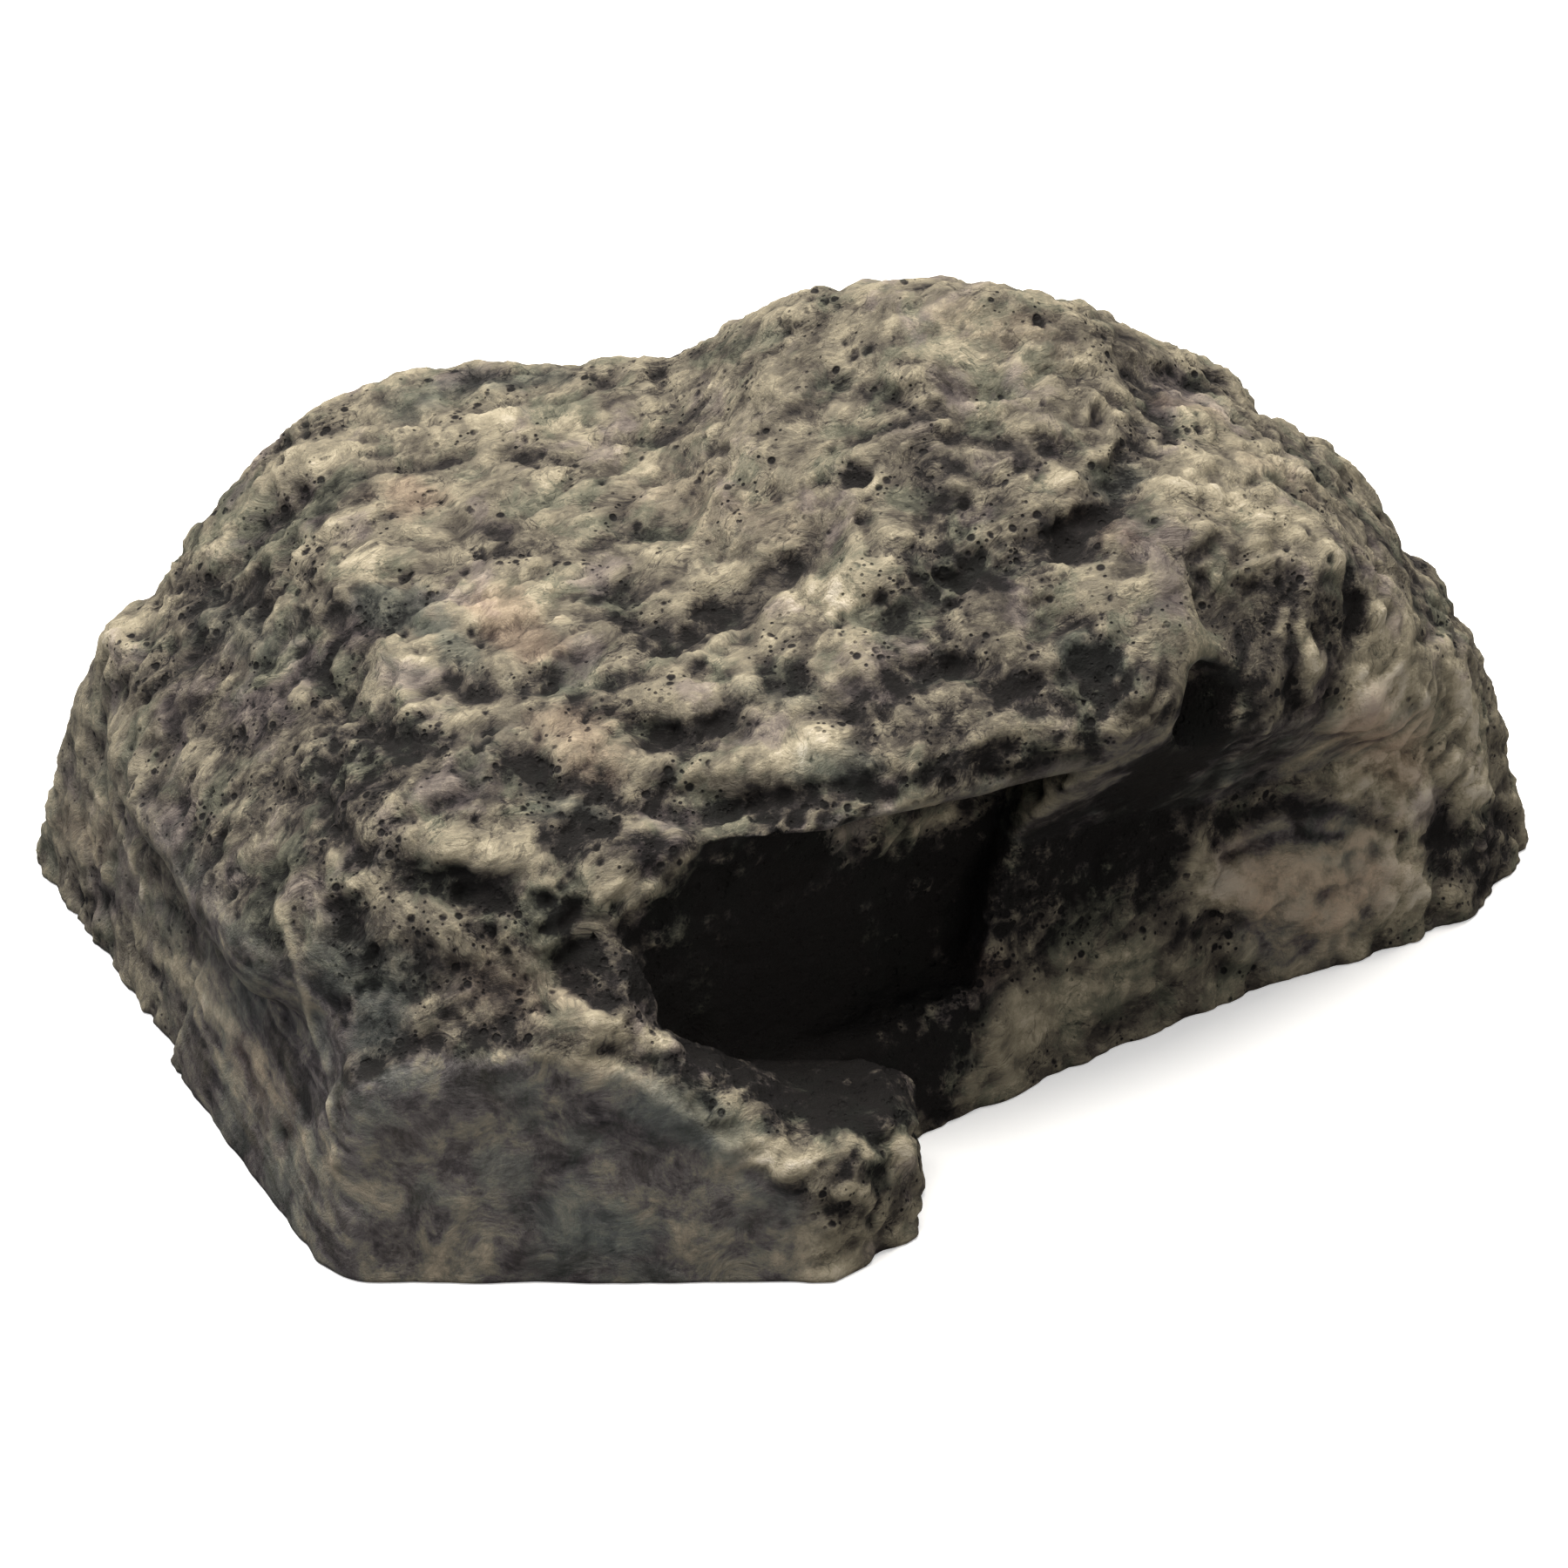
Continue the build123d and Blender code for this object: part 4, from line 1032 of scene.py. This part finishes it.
def brushed_colour(tree, on, light, pink, blue):
    """The rough stone's colour: khaki and cream, in places greenish, purplish or tinted."""
    colour = add(tree, "ValToRGB", light, stops=BRUSHED_SHADES)
    green = add(tree, "TexNoise", on.warped, Scale=1 / GREEN_GRAIN, Detail=4, Roughness=0.65)
    green = add(tree, "MapRange", green, 0.50, 0.62, interpolation_type="SMOOTHSTEP")
    dim = add(tree, "MapRange", light, 0.75, 0.40, interpolation_type="SMOOTHSTEP")
    green = add(tree, "Math", green, dim, operation="MULTIPLY")
    purple = add(tree, "TexNoise", on.warped, Scale=1 / PURPLE_GRAIN, Detail=4, Roughness=0.6)
    purple = add(tree, "MapRange", purple, 0.54, 0.66, interpolation_type="SMOOTHSTEP")
    colour = glazed(tree, colour, green, 0.5, light, "10130f", "989f88")
    colour = glazed(tree, colour, purple, 0.45, light, "120e12", "a8989c")
    colour = glazed(tree, colour, pink, 0.4, light, "1c1214", "d2b097")
    return glazed(tree, colour, blue, 0.55, light, "0c100f", "7b857c")


def flank_axes():
    """Directions across and along the chisel streaks of the left end, in the part's frame."""
    along = Vector((*LEFT_END_ALONG, -STREAK_FALL)).normalized()
    across = Vector(STREAK_ACROSS).normalized()
    return front_turn() @ across, front_turn() @ along


def chisel_streaks(tree, on, blotch):
    """Draws the blotches out along the chisel streaks on the left end."""
    across, along = (add(tree, "VectorMath", on.mm, axis, operation="DOT_PRODUCT")
                     for axis in flank_axes())
    slow = add(tree, "Math", along, STREAK_STRETCH, operation="MULTIPLY")
    drawn = add(tree, "CombineXYZ", across, slow)
    drawn = add(tree, "TexNoise", drawn, Scale=1 / STREAK_GRAIN, Detail=5, Roughness=0.62,
                Distortion=0.6)
    drawn = add(tree, "Math", drawn, 0.5, operation="SUBTRACT")
    drawn = add(tree, "Math", drawn, on.flank, operation="MULTIPLY")
    streaks = add(tree, "Math", drawn, 2.8, 0.5, operation="MULTIPLY_ADD")
    change = add(tree, "Math", streaks, blotch, operation="SUBTRACT")
    share = add(tree, "Math", on.flank, 0.5, operation="MULTIPLY")
    return add(tree, "Math", change, share, blotch, operation="MULTIPLY_ADD")


def wall_colour(tree, on, light, pink, blue):
    """The plain cast walls: greyer, with greenish and purplish blotches, and near black as painted shade
    in the hollow.
    """
    blotch = add(tree, "TexNoise", on.warped, Scale=1 / BLOTCH_GRAIN, Detail=5, Roughness=0.68)
    centred = add(tree, "Math", light, 0.46, operation="SUBTRACT")
    blotch = add(tree, "Math", centred, 0.7, blotch, operation="MULTIPLY_ADD")
    blotch = chisel_streaks(tree, on, blotch)
    blotch = add(tree, "Math", on.tone, 0.06, blotch, operation="MULTIPLY_ADD")
    mottle = add(tree, "TexNoise", on.brushed, Scale=1 / MOTTLE_GRAIN, Detail=8, Roughness=0.7)
    mottle = add(tree, "Math", mottle, 0.5, operation="SUBTRACT")
    blotch = add(tree, "Math", mottle, blotch, operation="ADD")
    wall = add(tree, "ValToRGB", blotch, stops=WALL_SHADES)
    teal = add(tree, "TexNoise", on.mm, Scale=1 / TEAL_GRAIN, Detail=3, Roughness=0.6)
    teal = add(tree, "MapRange", teal, 0.50, 0.62, interpolation_type="SMOOTHSTEP")
    wall = glazed(tree, wall, teal, 0.4, blotch, "1c2221", "98a298")
    wall = glazed(tree, wall, pink, 0.55, blotch, "1c1214", "d8b39a")
    wall = glazed(tree, wall, blue, 0.6, blotch, "0c1112", "84908c")
    # painted shade: where the strokes' tone is deepest, in the hollow, the wall turns near black
    black = add(tree, "MapRange", on.tone, -0.8, -2.4, interpolation_type="SMOOTHSTEP")
    return add(tree, "Mix", black, wall, "191513", data_type="RGBA")


def stone_paint():
    """Cast resin stone, painted by hand: a dark wash left in the hollows, khaki and cream brushed
    over the rises. Painted shade darkens the deep hollow, the undersides and the skyline, and painted
    light lifts the lip's underside, the bulge and a few pale patches. It is matt and dusty, and a
    little smoother on the plain cast walls."""
    mat, tree = new_tree("painted cast resin stone")
    on = paint_grounds(tree)
    light, patch = ragged_patches(tree, on, brushed_light(tree, on))
    light = curling_veins(tree, on, light)
    dots = pit_dots(tree, on)
    light = add(tree, "Math", dots, -0.42, light, operation="MULTIPLY_ADD")
    light = add(tree, "Math", on.pit, -0.40, light, operation="MULTIPLY_ADD", use_clamp=True)

    pink, blue = tints(tree, on)
    brushed = brushed_colour(tree, on, light, pink, blue)
    wall = wall_colour(tree, on, light, pink, blue)
    share = add(tree, "Math", on.plain, 0.85, operation="MULTIPLY")
    colour = add(tree, "Mix", share, brushed, wall, data_type="RGBA")

    rough = add(tree, "Math", on.fine, 0.25, 0.68, operation="MULTIPLY_ADD")
    rough = add(tree, "Math", on.plain, -0.20, rough, operation="MULTIPLY_ADD", use_clamp=True)
    speck = add(tree, "TexNoise", on.mm, Scale=1 / SPECK_GRAIN, Detail=3, Roughness=0.6)
    height = add(tree, "Math", speck, 0.15, operation="MULTIPLY")
    for pattern, share in ((on.fine, 0.75), (patch, 0.7), (dots, -0.6)):
        height = add(tree, "Math", pattern, share, height, operation="MULTIPLY_ADD")
    bump = add(tree, "Bump", Height=height, Strength=0.7, Distance=PAINT_BUMP * MM)
    surface(tree, Base_Color=colour, Roughness=rough, Specular_IOR_Level=0.3, Normal=bump)
    return mat


def raw_resin():
    """Unpainted filled resin, as left in the pocket and on the flat underside: chalky grey."""
    mat, tree = new_tree("bare filled resin")
    mm = in_millimetres(tree)
    cloud = add(tree, "TexNoise", mm, Scale=1 / RESIN_CLOUD, Detail=5, Roughness=0.65)
    grain = add(tree, "TexNoise", mm, Scale=1 / RESIN_GRAIN, Detail=4, Roughness=0.7)
    shade = add(tree, "Math", cloud, 0.6, operation="MULTIPLY")
    shade = add(tree, "Math", grain, 0.4, shade, operation="MULTIPLY_ADD")
    colour = add(tree, "ValToRGB", shade, stops=[(0.30, "6d6a66"), (0.50, "85817b"), (0.68, "98938b")])
    bump = add(tree, "Bump", Height=grain, Strength=0.5, Distance=0.2 * MM)
    surface(tree, Base_Color=colour, Roughness=0.82, Normal=bump)
    return mat


def moulded_plastic(name, dark, light, roughness):
    """Moulded ABS with a fine spark-eroded grain and faint handling marks."""
    mat, tree = new_tree(name)
    mm = in_millimetres(tree)
    grain = add(tree, "TexNoise", mm, Scale=1 / MOULD_GRAIN, Detail=3, Roughness=0.6)
    wear = add(tree, "TexNoise", mm, Scale=1 / HANDLING_MARK, Detail=5, Roughness=0.65)
    worn = add(tree, "MapRange", wear, 0.42, 0.72, interpolation_type="SMOOTHSTEP")
    colour = add(tree, "Mix", worn, dark, light, data_type="RGBA")
    rough = add(tree, "Math", wear, 0.22, roughness - 0.11, operation="MULTIPLY_ADD")
    bump = add(tree, "Bump", Height=grain, Strength=0.45, Distance=0.06 * MM)
    surface(tree, Base_Color=colour, Roughness=rough, Normal=bump)
    return mat


def seal_rubber():
    """Soft black rubber cord with a dusty bloom."""
    mat, tree = new_tree("black seal rubber")
    dust = add(tree, "TexNoise", in_millimetres(tree), Scale=1 / DUST_GRAIN, Detail=5, Roughness=0.7)
    bloom = add(tree, "MapRange", dust, 0.45, 0.75, interpolation_type="SMOOTHSTEP")
    colour = add(tree, "Mix", bloom, "1b1b1c", "343435", data_type="RGBA")
    rough = add(tree, "Math", dust, 0.25, 0.6, operation="MULTIPLY_ADD")
    bump = add(tree, "Bump", Height=dust, Strength=0.3, Distance=0.1 * MM)
    surface(tree, Base_Color=colour, Roughness=rough, Normal=bump)
    return mat


def closed_foam():
    """Grey closed-cell foam, its skin full of small open cells."""
    mat, tree = new_tree("grey closed-cell foam")
    mm = in_millimetres(tree)
    large = add(tree, "TexVoronoi", mm, Scale=1 / FOAM_CELL)
    large = add(tree, "MapRange", large, 0.08, 0.55, interpolation_type="SMOOTHSTEP")
    small = add(tree, "TexVoronoi", mm, Scale=1 / SMALL_FOAM_CELL)
    small = add(tree, "MapRange", small, 0.05, 0.5, interpolation_type="SMOOTHSTEP")
    cells = add(tree, "Math", large, small, operation="MULTIPLY")
    colour = add(tree, "Mix", cells, "2e2e31", "77777b", data_type="RGBA")
    bump = add(tree, "Bump", Height=cells, Strength=0.6, Distance=0.2 * MM)
    surface(tree, Base_Color=colour, Roughness=0.92, Normal=bump)
    return mat


def zinc_steel():
    """Zinc-plated screws: pale, faintly bluish, with a fine turned grain."""
    mat, tree = new_tree("zinc-plated steel")
    mm = in_millimetres(tree)
    cloud = add(tree, "TexNoise", mm, Scale=1 / ZINC_CLOUD, Detail=4, Roughness=0.6)
    colour = add(tree, "Mix", cloud, "a9abae", "c9c8c2", data_type="RGBA")
    rough = add(tree, "Math", cloud, 0.25, 0.22, operation="MULTIPLY_ADD")
    turned = add(tree, "TexNoise", mm, Scale=1 / TURNED_GRAIN, Detail=3, Roughness=0.6)
    bump = add(tree, "Bump", Height=turned, Strength=0.25, Distance=0.04 * MM)
    surface(tree, Base_Color=colour, Metallic=1.0, Roughness=rough, Normal=bump)
    return mat


# ---------------------------------------------------------------- the other pieces

def make_pad(material):
    """The foam pad under the cup's ceiling: a die-cut sheet whose lower face swells a little."""
    low, high = (Vector(c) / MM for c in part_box("foam_pad"))
    bm = bmesh.new()
    box_mesh(bm, low + Vector((0, 0, PAD_SWELL)), high, PAD_CORNER)
    bmesh.ops.bisect_plane(bm, geom=bm.verts[:] + bm.edges[:] + bm.faces[:], dist=1e-5,
                           plane_co=((low + high) / 2), plane_no=(0, 0, 1))
    floor = [f for f in bm.faces if f.normal.z < -0.9]
    for depth, inward in PAD_STEPS:
        bmesh.ops.inset_region(bm, faces=floor, thickness=inward, use_even_offset=True)
        for v in {v for f in floor for v in f.verts}:
            v.co.z = low.z + PAD_SWELL - depth
    bmesh.ops.recalc_face_normals(bm, faces=bm.faces)
    mesh = to_mesh(bm, "foam_cushion")
    mesh.transform(Matrix.Scale(MM, 4))
    for face in mesh.polygons:
        face.use_smooth = True
    mesh.materials.append(material)
    pad = link_object("foam_cushion", mesh)
    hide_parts("foam_pad")
    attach(pad, "rock")


def paint_nodes():
    """Finishes on the CAD pieces that stay as they are."""
    box = moulded_plastic("black moulded abs", "17171a", "232326", 0.52)
    cover = moulded_plastic("charcoal moulded abs", "1c1c1e", "2c2c2d", 0.46)
    for name, material in (("key_box", box), ("rail_frame", box), ("slide_cover", cover),
                           ("mouth_seal", seal_rubber()), ("frame_screws", zinc_steel())):
        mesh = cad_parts[name].data
        mesh.materials.clear()
        mesh.materials.append(material)


# ---------------------------------------------------------------- the studio

def lamp(name, place, target, size, watts, hex_code):
    """A soft box at a place in the front view's axes, in metres, that faces its target."""
    data = bpy.data.lights.new(name, "AREA")
    data.shape = "RECTANGLE"
    data.size, data.size_y = size
    data.energy = watts
    data.color = srgb(hex_code)[:3]
    light = link_object(name, data)
    light.location = front_to_part(Vector(place) / MM) * MM
    aim = light.location - front_to_part(Vector(target) / MM) * MM
    light.rotation_euler = aim.to_track_quat("Z", "Y").to_euler()


def paper_sweep():
    """White paper that is bright to the camera and dim as a light on the stone."""
    mat, tree = new_tree("white paper sweep")
    seen = (add(tree, "LightPath"), "Is Camera Ray")
    colour = add(tree, "Mix", seen, PAPER_DIM, WHITE, data_type="RGBA")
    glow = add(tree, "Math", seen, FLOOR_GLOW, operation="MULTIPLY")
    surface(tree, Base_Color=colour, Roughness=0.95, Specular_IOR_Level=0.0,
            Emission_Color=WHITE, Emission_Strength=glow)
    return mat


def make_floor():
    bm = bmesh.new()
    bmesh.ops.create_grid(bm, x_segments=2, y_segments=2, size=FLOOR_HALF)
    mesh = to_mesh(bm, "studio_floor")
    mesh.materials.append(paper_sweep())
    floor = link_object("studio_floor", mesh)
    floor.location.z = -0.1 * MM


def make_world():
    """A white surround for the camera, and a dim even light on the stone."""
    world = bpy.data.worlds.new("studio")
    bpy.context.scene.world = world
    world.use_nodes = True
    tree = world.node_tree
    tree.nodes.clear()
    seen = (add(tree, "LightPath"), "Is Camera Ray")
    colour = add(tree, "Mix", seen, SKY_DIM, WHITE, data_type="RGBA")
    add(tree, "OutputWorld", add(tree, "Background", colour, 1.0))


def make_studio():
    make_floor()
    lamp("soft_top", (-0.10, 0.12, 0.75), (0, 0, 0.02), (0.75, 0.6), 12.5, "fffaf2")
    lamp("soft_right", (0.45, -0.5, 0.22), (0.02, 0, 0.01), (0.35, 0.3), 0.75, "fff6ea")
    lamp("soft_left", (-0.6, -0.35, 0.35), (0, 0, 0.02), (0.4, 0.4), 0.9, "f4f6ff")
    make_world()
    bpy.context.scene.view_settings.view_transform = "Standard"


make_camera()
make_stone(stone_paint(), raw_resin())
make_pad(closed_foam())
paint_nodes()
make_studio()
